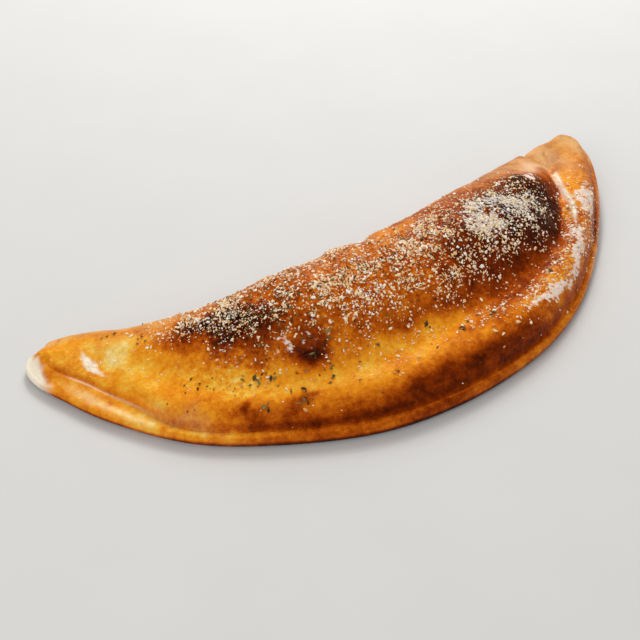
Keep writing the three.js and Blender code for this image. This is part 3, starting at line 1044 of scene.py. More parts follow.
class FinishBench:
    """Adds and links the shader nodes of one finish."""

    def __init__(self, name: str) -> None:
        """Starts a finish with its shader and output.

        Args:
            name: Name of the finish.
        """
        self.material = bpy.data.materials.new(name)
        self.material.use_nodes = True
        self.tree = self.material.node_tree
        self.tree.nodes.clear()
        self.shader = self.add("ShaderNodeBsdfPrincipled")
        output = self.add("ShaderNodeOutputMaterial")
        self.tree.links.new(self.shader.outputs["BSDF"], output.inputs["Surface"])
        place = self.add("ShaderNodeTexCoord")
        scale = self.add("ShaderNodeMapping")
        scale.inputs["Scale"].default_value = (1 / MM,) * 3
        self.tree.links.new(place.outputs["Object"], scale.inputs["Vector"])
        self.place = scale.outputs["Vector"]

    def add(self, kind: str) -> bpy.types.Node:
        """Adds a node of a kind."""
        return self.tree.nodes.new(kind)

    def feed(self, value: Level, socket: Socket) -> None:
        """Links a socket or sets a plain value on an input.

        Args:
            value: The socket or value.
            socket: The input.
        """
        if isinstance(value, bpy.types.NodeSocket):
            self.tree.links.new(value, socket)
        else:
            socket.default_value = value

    def math(self, operation: str, first: Level, second: Level = 0.0, clamp: bool = False) -> Socket:
        """Works out a level from two others.

        Args:
            operation: Blender's name of the operation.
            first: First level.
            second: Second level.
            clamp: Whether the result is held between 0 and 1.

        Returns:
            The result.
        """
        node = self.add("ShaderNodeMath")
        node.operation = operation
        node.use_clamp = clamp
        self.feed(first, node.inputs[0])
        self.feed(second, node.inputs[1])
        return node.outputs[0]

    def times(self, first: Level, second: Level) -> Socket:
        """Product of two levels."""
        return self.math("MULTIPLY", first, second)

    def clouds(self, noise: Socket, to_low: float, to_high: float) -> Socket:
        """Maps the usual span of a cloudy noise to a range."""
        return self.fit(noise, *CLOUD_SPAN, to_low, to_high)

    def fit(self, value: Level, low: float, high: float, to_low: float = 0, to_high: float = 1) -> Socket:
        """Maps a level from one range to another, held at its ends.

        Args:
            value: The level.
            low: Start of its range.
            high: End of its range.
            to_low: Result at the start.
            to_high: Result at the end.

        Returns:
            The mapped level.
        """
        node = self.add("ShaderNodeMapRange")
        for socket, number in zip(node.inputs, (value, low, high, to_low, to_high)):
            self.feed(number, socket)
        return node.outputs[0]

    def mix(self, share: Level, first: Union[Colour, Socket], second: Union[Colour, Socket]) -> Socket:
        """Mixes two colours.

        Args:
            share: Share of the second colour.
            first: First colour.
            second: Second colour.

        Returns:
            The mixed colour.
        """
        node = self.add("ShaderNodeMix")
        node.data_type = "RGBA"
        self.feed(share, node.inputs["Factor"])
        for socket, colour in ((node.inputs[6], first), (node.inputs[7], second)):
            self.feed(colour if isinstance(colour, bpy.types.NodeSocket) else (*colour, 1), socket)
        return node.outputs[2]

    def level(self, name: str) -> Socket:
        """Reads a level painted on the mesh.

        Args:
            name: Name of its layer.

        Returns:
            The level.
        """
        node = self.add("ShaderNodeAttribute")
        node.attribute_name = name
        return node.outputs["Fac"]

    def noise(self, size: float, detail: float = 3, slim: float = 1, turn: float = 0) -> Socket:
        """Cloudy noise around 0.5.

        Args:
            size: Size of a lump in millimetres.
            detail: How many finer layers it has.
            slim: How many times longer than wide its lumps are.
            turn: Direction of their length, in degrees from +x.

        Returns:
            The noise.
        """
        spread = self.add("ShaderNodeMapping")
        spread.vector_type = "TEXTURE"
        spread.inputs["Rotation"].default_value = (0, 0, math.radians(turn))
        spread.inputs["Scale"].default_value = (size * slim, size, size)
        self.feed(self.place, spread.inputs["Vector"])
        node = self.add("ShaderNodeTexNoise")
        node.inputs["Scale"].default_value = 1
        node.inputs["Detail"].default_value = detail
        self.feed(spread.outputs["Vector"], node.inputs["Vector"])
        return node.outputs["Fac"]

    def cells(self, size: float) -> Socket:
        """Uneven round cells.

        Args:
            size: Size of a cell in millimetres.

        Returns:
            The distance from the middle of the nearest cell.
        """
        node = self.add("ShaderNodeTexVoronoi")
        node.inputs["Scale"].default_value = 1 / size
        self.feed(self.place, node.inputs["Vector"])
        return node.outputs["Distance"]

    def ramp(self, value: Level, stops: tuple[tuple[float, Colour], ...]) -> Socket:
        """Colours along a level.

        Args:
            value: The level.
            stops: Pairs of level and colour.

        Returns:
            The colour at the level.
        """
        node = self.add("ShaderNodeValToRGB")
        band = node.color_ramp
        while len(band.elements) < len(stops):
            band.elements.new(1.0)
        for element, (place, colour) in zip(band.elements, stops):
            element.position = place
            element.color = (*colour, 1)
        self.feed(value, node.inputs["Fac"])
        return node.outputs["Color"]

    def bump(self, height: Socket, depth: float, under: Socket | None = None) -> Socket:
        """Adds fine relief on top of the relief under it.

        Args:
            height: The relief, from 0 to 1.
            depth: Its depth in millimetres.
            under: Relief that it lies on.

        Returns:
            The bent normal.
        """
        node = self.add("ShaderNodeBump")
        node.inputs["Distance"].default_value = depth * MM
        self.feed(height, node.inputs["Height"])
        if under is not None:
            self.feed(under, node.inputs["Normal"])
        return node.outputs["Normal"]

    def set(self, **values: Level) -> None:
        """Sets inputs of the shader by name, with underscores for spaces."""
        for name, value in values.items():
            self.feed(value, self.shader.inputs[name.replace("_", " ")])


@dataclass(frozen=True)
class CrustFinish:
    """Baked dough: pale where it stayed soft, golden, brown and blistered where it caught, with painted
    shade, sheen and glints in its colour.
    """

    stops: tuple[tuple[float, Colour], ...] = (
        (0.00, srgb(254, 240, 214)),
        (0.12, srgb(252, 222, 140)),
        (0.24, srgb(250, 190, 64)),
        (0.36, srgb(244, 156, 32)),
        (0.46, srgb(226, 128, 22)),
        (0.58, srgb(192, 90, 12)),
        (0.70, srgb(146, 55, 3)),
        (0.82, srgb(102, 33, 4)),
        (0.92, srgb(72, 20, 5)),
        (1.00, srgb(46, 12, 5)),
    )
    # Dull floury colour, which also carries the painted sheen along the fold.
    tan: Colour = srgb(232, 182, 128)
    tan_brown: Colour = srgb(168, 102, 46)
    cream: Colour = srgb(255, 246, 224)
    powder: Colour = srgb(244, 206, 166)
    # Colour of the painted sheen highlights.
    painted_sheen_colour: Colour = srgb(255, 234, 218)
    # Colours of the cheese strands and of the painted glints.
    strand_and_glint: Colour = srgb(226, 200, 184)
    strand_and_glint_light: Colour = srgb(255, 250, 244)
    warm: Colour = (1.0, 0.6, 0.25)
    cloud_size: float = 9
    mottle_size: float = 2.4
    pore_size: float = 0.8
    wrinkle_size: float = 2.2
    wrinkle_slimness: float = 1.8
    strand_size: float = 1.2
    strand_slimness: float = 2.4
    strand_turn: float = -35
    blister_size: float = 1.6
    powder_size: float = 0.75
    heap_size: float = 2.6
    powder_cover: float = 0.3
    sheen_and_lace_cover: float = 0.9
    sheen_and_lace_start: float = 0.8
    sheen_and_lace_growth: float = 0.36
    painted_sheen_softness: float = 0.08
    lace_and_glint_softness: float = 0.05
    cloud_depth: float = 0.9
    mottle_depth: float = 0.5
    blister_depth: float = 0.2
    wrinkle_depth: float = 1.3
    lace_and_glint_depth: float = 0.25
    pore_depth: float = 0.14
    roughness: tuple[float, float] = (0.42, 0.58)
    coat_roughness: float = 0.10
    specular: float = 0.06

    def make(self) -> bpy.types.Material:
        """Makes the finish.

        Returns:
            The material.
        """
        bench = FinishBench("baked_crust")
        clouds = bench.noise(self.cloud_size, 4)
        mottle = bench.noise(self.mottle_size, 3)
        pores = bench.noise(self.pore_size, 2)
        wrinkles = bench.noise(self.wrinkle_size, 3, self.wrinkle_slimness, self.strand_turn)
        # Painted sheen highlights, broken up by the wrinkles.
        painted_sheen = self._broken(bench, bench.level("painted_sheen"), wrinkles, self.painted_sheen_softness)
        # Cheese strands with painted glints of the lamp.
        strands = bench.noise(self.strand_size, 3, self.strand_slimness, self.strand_turn)
        lace_and_glints = self._broken(bench, bench.level("lace_and_glints"), strands, self.lace_and_glint_softness)
        pale = bench.level("pale")
        colour = self._baked(bench, clouds, mottle, pores)
        colour = bench.mix(bench.times(self._powder(bench), self.powder_cover), colour, self.powder)
        # Mixes in the painted sheen highlights.
        colour = bench.mix(bench.times(painted_sheen, self.sheen_and_lace_cover), colour, self.painted_sheen_colour)
        # Mixes in the strands and painted glints after the sheen.
        strand_and_glint = bench.mix(bench.fit(pores, 0.4, 0.6), self.strand_and_glint, self.strand_and_glint_light)
        colour = bench.mix(bench.times(lace_and_glints, self.sheen_and_lace_cover), colour, strand_and_glint)
        colour = bench.mix(pale, colour, self.cream)
        oil = bench.level("oil")
        rough = bench.clouds(mottle, *self.roughness)
        rough = bench.math("SUBTRACT", rough, bench.times(pale, 0.1), clamp=True)
        normal = bench.bump(clouds, self.cloud_depth)
        normal = bench.bump(mottle, self.mottle_depth, normal)
        normal = bench.bump(bench.cells(self.blister_size), self.blister_depth, normal)
        normal = bench.bump(bench.times(wrinkles, oil), self.wrinkle_depth, normal)
        normal = bench.bump(lace_and_glints, self.lace_and_glint_depth, normal)
        normal = bench.bump(pores, self.pore_depth, normal)
        bench.set(Base_Color=colour, Roughness=rough, Normal=normal)
        wet = bench.times(oil, bench.fit(mottle, 0.35, 0.6, 0.15, 1))
        bench.set(Coat_Weight=wet, Coat_Roughness=self.coat_roughness, Coat_Normal=normal)
        bench.set(Specular_IOR_Level=self.specular, Specular_Tint=(*self.warm, 1))
        return bench.material

    def _baked(self, bench: FinishBench, clouds: Socket, mottle: Socket, pores: Socket) -> Socket:
        """Colour of the baked dough, with its painted shade and the painted sheen along the fold.

        Args:
            bench: Bench of the finish.
            clouds: Its broad noise.
            mottle: Its middle noise.
            pores: Its fine noise.

        Returns:
            The colour.
        """
        bake = bench.level("bake")
        uneven = bench.fit(bench.level("dust"), 0, 0.4, 0.05, 0.14)
        level = bench.math("ADD", bake, bench.clouds(clouds, -0.08, 0.08))
        level = bench.math("ADD", level, bench.times(bench.clouds(mottle, -1, 1), uneven))
        level = bench.math("ADD", level, bench.clouds(pores, -0.035, 0.035), clamp=True)
        # Dull floury colour, which also carries the painted sheen along the fold.
        dull = bench.mix(bench.fit(level, 0.3, 0.75), self.tan, self.tan_brown)
        return bench.mix(bench.times(bench.level("tan"), 0.8), bench.ramp(level, self.stops), dull)

    def _broken(self, bench: FinishBench, cover: Socket, pattern: Socket, softness: float) -> Socket:
        """Flecks that take up more of the crust where their cover is thicker.

        Args:
            bench: Bench of the finish.
            cover: How thick they lie.
            pattern: Noise that breaks them up.
            softness: How soft their edges are.

        Returns:
            Their share of each place.
        """
        thick = bench.math("ADD", pattern, bench.times(cover, self.sheen_and_lace_growth))
        return bench.fit(thick, self.sheen_and_lace_start - softness / 2, self.sheen_and_lace_start + softness / 2)

    def _powder(self, bench: FinishBench) -> Socket:
        """Specks of cheese powder where it lies thick.

        Args:
            bench: Bench of the finish.

        Returns:
            Their share of each place.
        """
        specks = bench.cells(self.powder_size)
        heaps = bench.noise(self.heap_size, 4)
        thick = bench.times(bench.level("dust"), bench.fit(heaps, 0.42, 0.62))
        return bench.fit(bench.math("SUBTRACT", thick, specks), 0, 0.15)


@dataclass(frozen=True)
class ToppingFinish:
    """Finish of a topping, each bit of which has its own tone.

    Args:
        name: Name of the finish.
        stops: Pairs of tone and colour.
        grain: Size of its fine grain.
        layers: How many finer layers the grain has.
        swing: How far the grain shifts the tone.
        roughness: Its least and greatest roughness.
        depth: Depth of the grain.
    """

    name: str
    stops: tuple[tuple[float, Colour], ...]
    grain: float
    layers: int
    swing: float
    roughness: tuple[float, float]
    depth: float

    def make(self) -> bpy.types.Material:
        """Makes the finish.

        Returns:
            The material.
        """
        bench = FinishBench(self.name)
        grain = bench.noise(self.grain, self.layers)
        swing = bench.clouds(grain, -self.swing, self.swing)
        tone = bench.math("ADD", bench.level("tone"), swing, clamp=True)
        rough = bench.clouds(grain, *self.roughness)
        bench.set(
            Base_Color=bench.ramp(tone, self.stops), Roughness=rough, Normal=bench.bump(grain, self.depth)
        )
        return bench.material


@dataclass(frozen=True)
class CheeseFinish(ToppingFinish):
    """Hard grated cheese, cream with toasted bits."""

    name: str = "grated_cheese"
    stops: tuple[tuple[float, Colour], ...] = (
        (0.0, srgb(216, 148, 86)),
        (0.3, srgb(250, 206, 144)),
        (0.7, srgb(255, 232, 190)),
        (1.0, srgb(255, 249, 238)),
    )
    grain: float = 0.6
    layers: int = 2
    swing: float = 0.12
    roughness: tuple[float, float] = (0.4, 0.6)
    depth: float = 0.08


@dataclass(frozen=True)
class HerbFinish(ToppingFinish):
    """Dried oregano and basil, dark green to brown."""

    name: str = "dried_herbs"
    stops: tuple[tuple[float, Colour], ...] = (
        (0.0, srgb(62, 42, 18)),
        (0.4, srgb(98, 78, 34)),
        (0.75, srgb(130, 114, 56)),
        (1.0, srgb(164, 140, 84)),
    )
    grain: float = 0.5
    layers: int = 3
    swing: float = 0.2
    roughness: tuple[float, float] = (0.5, 0.75)
    depth: float = 0.12


@dataclass(frozen=True)
class FloorFinish:
    """Smooth pale floor, dull so that no light mirrors in it."""

    light: Colour = srgb(221, 220, 217)
    shade: Colour = srgb(216, 215, 212)
    cloud_size: float = 60
    roughness: float = 0.6
    specular: float = 0.0

    def make(self) -> bpy.types.Material:
        """Makes the finish.

        Returns:
            The material.
        """
        bench = FinishBench("pale_floor")
        colour = bench.mix(bench.noise(self.cloud_size, 2), self.light, self.shade)
        bench.set(Base_Color=colour, Roughness=self.roughness, Specular_IOR_Level=self.specular)
        return bench.material


# --------------------------------------------------------------------------------------------
# Pieces
# --------------------------------------------------------------------------------------------


def tip_frame_shift(form: CalzoneForm) -> np.ndarray:
    """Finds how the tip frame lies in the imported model's.

    Args:
        form: The calzone's form.

    Returns:
        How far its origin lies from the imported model's, in metres.
    """
    low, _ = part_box(NODE)
    edge = form.sealed_edge.line()
    return np.array([low[0] - edge[:, 0].min() * MM, low[1] - edge[:, 1].min() * MM, low[2]])


def only(piece: bpy.types.Object) -> None:
    """Makes a piece the only selected and the active one.

    Args:
        piece: The piece.
    """
    bpy.ops.object.select_all(action="DESELECT")
    piece.select_set(True)
    bpy.context.view_layer.objects.active = piece


@dataclass
class Crust:
    """The whole dough case: sealed bead, roll, groove, belly, fold and flat base."""

    form: CalzoneForm
    relief: BakedRelief = field(default_factory=BakedRelief)
    bake_map: BakeMap = field(default_factory=BakeMap)
    stations: int = 440
    rings: int = 88
    foot_steps: int = 5
    spine_start: float = 0.06
    spine_end: float = 0.93
    weld: float = 0.00001

    def build(self) -> bpy.types.Object:
        """Builds and dresses the crust.

        Returns:
            The crust, in place of its CAD node.
        """
        loops = self._loops()
        along, around = loops.shape[0] - 1, loops.shape[1] - 1
        bpy.ops.object.select_all(action="DESELECT")
        bpy.ops.mesh.primitive_grid_add(x_subdivisions=along, y_subdivisions=around, size=2)
        crust = bpy.context.object
        crust.name = crust.data.name = "crust"
        places = np.empty(len(crust.data.vertices) * 3)
        crust.data.vertices.foreach_get("co", places)
        places = places.reshape(-1, 3)
        i = np.rint((places[:, 0] + 1) / 2 * along).astype(int)
        j = np.rint((places[:, 1] + 1) / 2 * around).astype(int)
        points = loops[i, j]
        shift = tip_frame_shift(self.form)
        crust.data.vertices.foreach_set("co", (points * MM + shift).ravel())
        self._paint(crust, points)
        only(crust)
        bpy.ops.object.mode_set(mode="EDIT")
        bpy.ops.mesh.select_all(action="SELECT")
        bpy.ops.mesh.remove_doubles(threshold=self.weld)
        bpy.ops.mesh.normals_make_consistent(inside=False)
        bpy.ops.object.mode_set(mode="OBJECT")
        bpy.ops.object.shade_smooth()
        crust.data.materials.append(CrustFinish().make())
        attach(crust, BODY)
        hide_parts(NODE)
        return crust

    def _loops(self) -> np.ndarray:
        """Closed section loops along the length, closer together towards the tips.

        Returns:
            Their points in the tip frame, as stations by points by xyz.
        """
        share = np.linspace(0, 1, self.stations + 1)
        share = 0.5 * share + 0.25 * (1 - np.cos(np.pi * share))
        seal, fold = (self._on(curve, share) for curve in (self.form.sealed_edge, self.form.fold_edge))
        middle = np.clip(share, self.spine_start, self.spine_end)
        spine = (self._on(self.form.sealed_edge, middle) + self._on(self.form.fold_edge, middle)) / 2
        rise = 1 - np.cos(np.pi / 2 * np.linspace(0, 1, self.rings + 1))
        front = seal[:, None] + (spine - seal)[:, None] * rise[None, :, None]
        back = fold[:, None] + (spine - fold)[:, None] * rise[None, :, None]
        plan = np.concatenate([front, back[:, -2::-1]], axis=1)
        place = self.form.insets(plan[..., 0], plan[..., 1])
        height = self.form.crust(place) + self.relief.height(self.form, place)
        top = np.concatenate([plan, height[..., None]], axis=2)
        fold_foot, seal_foot = self._foot(fold, spine), self._foot(seal, spine)
        return np.concatenate([top, fold_foot, self._base(spine), seal_foot[:, ::-1], top[:, :1]], axis=1)

    def _foot(self, edge: np.ndarray, spine: np.ndarray) -> np.ndarray:
        """Rounded foot, from its top on the outline down to the base.

        Args:
            edge: Points of the outline.
            spine: Middle of the section at each of them.

        Returns:
            Its points, as stations by points by xyz.
        """
        inward = (spine - edge) / np.linalg.norm(spine - edge, axis=1, keepdims=True)
        angle = np.pi / 2 * np.arange(1, self.foot_steps + 1) / self.foot_steps
        reach = self.form.foot_inset * (1 - np.cos(angle))
        plan = edge[:, None] + inward[:, None] * reach[None, :, None]
        height = self.form.underside(plan[..., 0]) + self.form.foot_height * (1 - np.sin(angle))
        return np.concatenate([plan, height[..., None]], axis=2)

    def _base(self, spine: np.ndarray) -> np.ndarray:
        """Middle line of the flat base."""
        height = self.form.underside(spine[:, 0])
        return np.concatenate([spine, height[:, None]], axis=1)[:, None]

    @staticmethod
    def _on(curve: PlanCurve, share: np.ndarray) -> np.ndarray:
        """Finds points of a curve.

        Args:
            curve: The curve.
            share: Their places, as shares of its length.

        Returns:
            The points.
        """
        line = curve.line()
        even = np.linspace(0, 1, len(line))
        return np.stack([np.interp(share, even, line[:, k]) for k in (0, 1)], axis=1)

    def _paint(self, crust: bpy.types.Object, points: np.ndarray) -> None:
        """Stores on the mesh how each place baked, with the painted shade and painted highlights.

        Args:
            crust: The crust.
            points: Its corners in the tip frame.
        """
        form, baked = self.form, self.bake_map
        place = form.insets(points[:, 0], points[:, 1])
        above_base = points[:, 2] - form.underside(place.x)
        # The bake level carries painted shade; the sheen, lace and pale levels carry painted highlights.
        levels = {
            "bake": baked.bake(form, place) + baked.foot(form, place.x, above_base),
            "tan": baked.tan(place),
            "oil": baked.oil(place),
            "dust": baked.dust(place),
            "pale": baked.pale(form, place) * baked.pale_above_base.at(above_base),
            "painted_sheen": baked.painted_sheen(place),
            "lace_and_glints": baked.lace_and_glints(place),
        }
        for name, level in levels.items():
            layer = crust.data.attributes.new(name, "FLOAT", "POINT")
            layer.data.foreach_set("value", level.astype(np.float32))


@dataclass(frozen=True)
class CrustSurface:
    """The crust's upward faces, for toppings to lie on."""

    corners: np.ndarray
    normals: np.ndarray
    areas: np.ndarray

    @classmethod
    def of(cls, crust: bpy.types.Object, steepest: float = 0.12) -> CrustSurface:
        """Reads the faces that look up.

        Args:
            crust: The crust.
            steepest: Least upward share of a face's normal.

        Returns:
            The surface.
        """
        mesh = crust.data
        mesh.calc_loop_triangles()
        places = np.empty(len(mesh.vertices) * 3)
        mesh.vertices.foreach_get("co", places)
        faces = np.empty(len(mesh.loop_triangles) * 3, dtype=np.int32)
        mesh.loop_triangles.foreach_get("vertices", faces)
        corners = places.reshape(-1, 3)[faces.reshape(-1, 3)]
        cross = np.cross(corners[:, 1] - corners[:, 0], corners[:, 2] - corners[:, 0])
        size = np.linalg.norm(cross, axis=1)
        keep = (size > 0) & (cross[:, 2] > steepest * size)
        return cls(corners[keep], cross[keep] / size[keep, None], size[keep] / 2)

    def scatter(
        self, count: int, cover: np.ndarray, random: np.random.Generator
    ) -> tuple[np.ndarray, np.ndarray, np.ndarray]:
        """Draws places on the surface.

        Args:
            count: How many.
            cover: How thick the topping lies on each face.
            random: Source of chance.

        Returns:
            The places, the normals there and the faces that they lie on.
        """
        weight = self.areas * cover
        chosen = random.choice(len(weight), count, p=weight / weight.sum())
        a, b = random.random((2, count, 1))
        over = a + b > 1
        a, b = np.where(over, 1 - a, a), np.where(over, 1 - b, b)
        p, q, r = (self.corners[chosen, k] for k in range(3))
        return p + a * (q - p) + b * (r - p), self.normals[chosen], chosen


@dataclass(frozen=True)
class Shape:
    """A small closed shape that is laid many times: its corners and faces."""

    corners: np.ndarray
    faces: np.ndarray

    @classmethod
    def take(cls, piece: bpy.types.Object) -> Shape:
        """Takes the shape of a modelled piece and removes the piece.

        Args:
            piece: The piece, about a unit across, made of triangles.

        Returns:
            Its shape.
        """
        mesh = piece.data
        corners = np.array([tuple(v.co) for v in mesh.vertices])
        faces = np.array([tuple(p.vertices) for p in mesh.polygons])
        bpy.data.objects.remove(piece)
        bpy.data.meshes.remove(mesh)
        return cls(corners, faces)


@dataclass(frozen=True)
class Topping:
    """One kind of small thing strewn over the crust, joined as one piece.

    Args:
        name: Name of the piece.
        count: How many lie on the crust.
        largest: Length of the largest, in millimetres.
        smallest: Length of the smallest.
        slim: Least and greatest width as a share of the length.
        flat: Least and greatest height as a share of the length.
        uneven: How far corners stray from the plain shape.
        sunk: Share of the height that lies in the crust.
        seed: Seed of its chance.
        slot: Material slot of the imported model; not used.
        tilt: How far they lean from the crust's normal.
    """

    name: str
    count: int
    largest: float
    smallest: float
    slim: tuple[float, float]
    flat: tuple[float, float]
    uneven: float
    sunk: float
    seed: Seed
    slot: str = CHEESE_SLOT
    tilt: float = 0.35

    def lay(
        self,
        shape: Shape,
        surface: CrustSurface,
        cover: np.ndarray,
        finish: bpy.types.Material,
        paler: np.ndarray,
    ) -> bpy.types.Object:
        """Lays the topping on the crust.

        Args:
            shape: The plain shape of one.
            surface: Faces that they lie on.
            cover: How thick they lie on each face.
            finish: Their material.
            paler: How much paler they are on each face.

        Returns:
            The joined piece.
        """
        random = np.random.default_rng(self.seed)
        places, normals, chosen = surface.scatter(self.count, cover, random)
        return self.lay_at(shape, places, normals, finish, random, paler[chosen])

    def lay_at(
        self,
        shape: Shape,
        places: np.ndarray,
        normals: np.ndarray,
        finish: bpy.types.Material,
        random: np.random.Generator,
        paler: Union[float, np.ndarray] = 0.0,
    ) -> bpy.types.Object:
        """Lays one at each of some places, more of them small than large, and joins them.

        Args:
            shape: The plain shape of one.
            places: Where they lie.
            normals: The crust's normals there.
            finish: Their material.
            random: Source of chance.
            paler: How much paler they are.

        Returns:
            The joined piece.
        """
        count = len(places)
        length = self.smallest + (self.largest - self.smallest) * random.random(count) ** 2
        width = length * random.uniform(*self.slim, count)
        height = length * random.uniform(*self.flat, count)
        size = np.stack([length, width, height], axis=1) * MM
        stray = 1 + self.uneven * random.uniform(-1, 1, (count, len(shape.corners), 1))
        local = shape.corners[None] * stray * size[:, None]
        up = normals + self.tilt * random.normal(0, 1, (count, 3)) * 0.5
        up /= np.linalg.norm(up, axis=1, keepdims=True)
        side = np.cross(up, random.normal(0, 1, (count, 3)))
        side /= np.linalg.norm(side, axis=1, keepdims=True)
        turn = np.stack([side, np.cross(up, side), up], axis=1)
        seat = places + normals * (size[:, 2:3] * (0.5 - self.sunk))
        points = np.einsum("nvk,nkd->nvd", local, turn) + seat[:, None]
        steps = np.arange(count)[:, None, None] * len(shape.corners)
        faces = (shape.faces[None] + steps).reshape(-1, shape.faces.shape[1])
        mesh = bpy.data.meshes.new(self.name)
        mesh.from_pydata(points.reshape(-1, 3), [], faces)
        tone = np.clip(random.random(count) + paler, 0, 1)
        tone = np.repeat(tone, len(shape.corners)).astype(np.float32)
        mesh.attributes.new("tone", "FLOAT", "POINT").data.foreach_set("value", tone)
        piece = bpy.data.objects.new(self.name, mesh)
        bpy.context.scene.collection.objects.link(piece)
        mesh.materials.append(finish)
        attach(piece, BODY)
        return piece


def crumb_shape() -> Shape:
    """Models a faceted crumb of grated cheese.

    Returns:
        Its shape.
    """
    bpy.ops.object.select_all(action="DESELECT")
    bpy.ops.mesh.primitive_ico_sphere_add(subdivisions=1, radius=0.5)
    return Shape.take(bpy.context.object)


def speck_shape() -> Shape:
    """Models a speck of cheese powder: two four-sided cones base to base.

    Returns:
        Its shape.
    """
    bpy.ops.object.select_all(action="DESELECT")
    bpy.ops.mesh.primitive_cone_add(vertices=4, radius1=0.5, depth=0.5, end_fill_type="NOTHING")
    speck = bpy.context.object
    only(speck)
    bpy.ops.object.mode_set(mode="EDIT")
    bpy.ops.mesh.select_all(action="SELECT")
    bpy.ops.transform.translate(value=(0, 0, 0.25))
    bpy.ops.mesh.duplicate()
    bpy.ops.transform.resize(value=(1, 1, -1), center_override=(0, 0, 0))
    bpy.ops.mesh.select_all(action="SELECT")
    bpy.ops.mesh.remove_doubles(threshold=0.001)
    bpy.ops.mesh.normals_make_consistent(inside=False)
    bpy.ops.object.mode_set(mode="OBJECT")
    return Shape.take(speck)


@dataclass(frozen=True)
class LeafScrap:
    """A curled scrap of dried leaf, a unit long, thin and pointed at both ends."""

    tip_width: float = 0.12
    taper: float = 1.6
    sway: float = 0.06
    sway_turns: float = 9
    fold: float = 0.9
    droop: float = 0.105
    thickness: float = 0.16

    def shape(self) -> Shape:
        """Models the scrap.

        Returns:
            Its shape.
        """
        bpy.ops.object.select_all(action="DESELECT")
        bpy.ops.mesh.primitive_grid_add(x_subdivisions=4, y_subdivisions=2, size=1)
        leaf = bpy.context.object
        for corner in leaf.data.vertices:
            x, y, _ = corner.co
            narrow = max(self.tip_width, 1 - (2 * abs(x)) ** self.taper)
            height = self.fold * abs(y) * narrow - self.droop * (2 * x) ** 2
            corner.co = (x, y * narrow + self.sway * math.sin(self.sway_turns * x), height)
        only(leaf)
        thick = leaf.modifiers.new("thickness", "SOLIDIFY")
        thick.thickness = self.thickness
        thick.offset = 0
        bpy.ops.object.modifier_apply(modifier=thick.name)
        bpy.ops.object.mode_set(mode="EDIT")
        bpy.ops.mesh.select_all(action="SELECT")
        bpy.ops.mesh.quads_convert_to_tris()
        bpy.ops.object.mode_set(mode="OBJECT")
        return Shape.take(leaf)


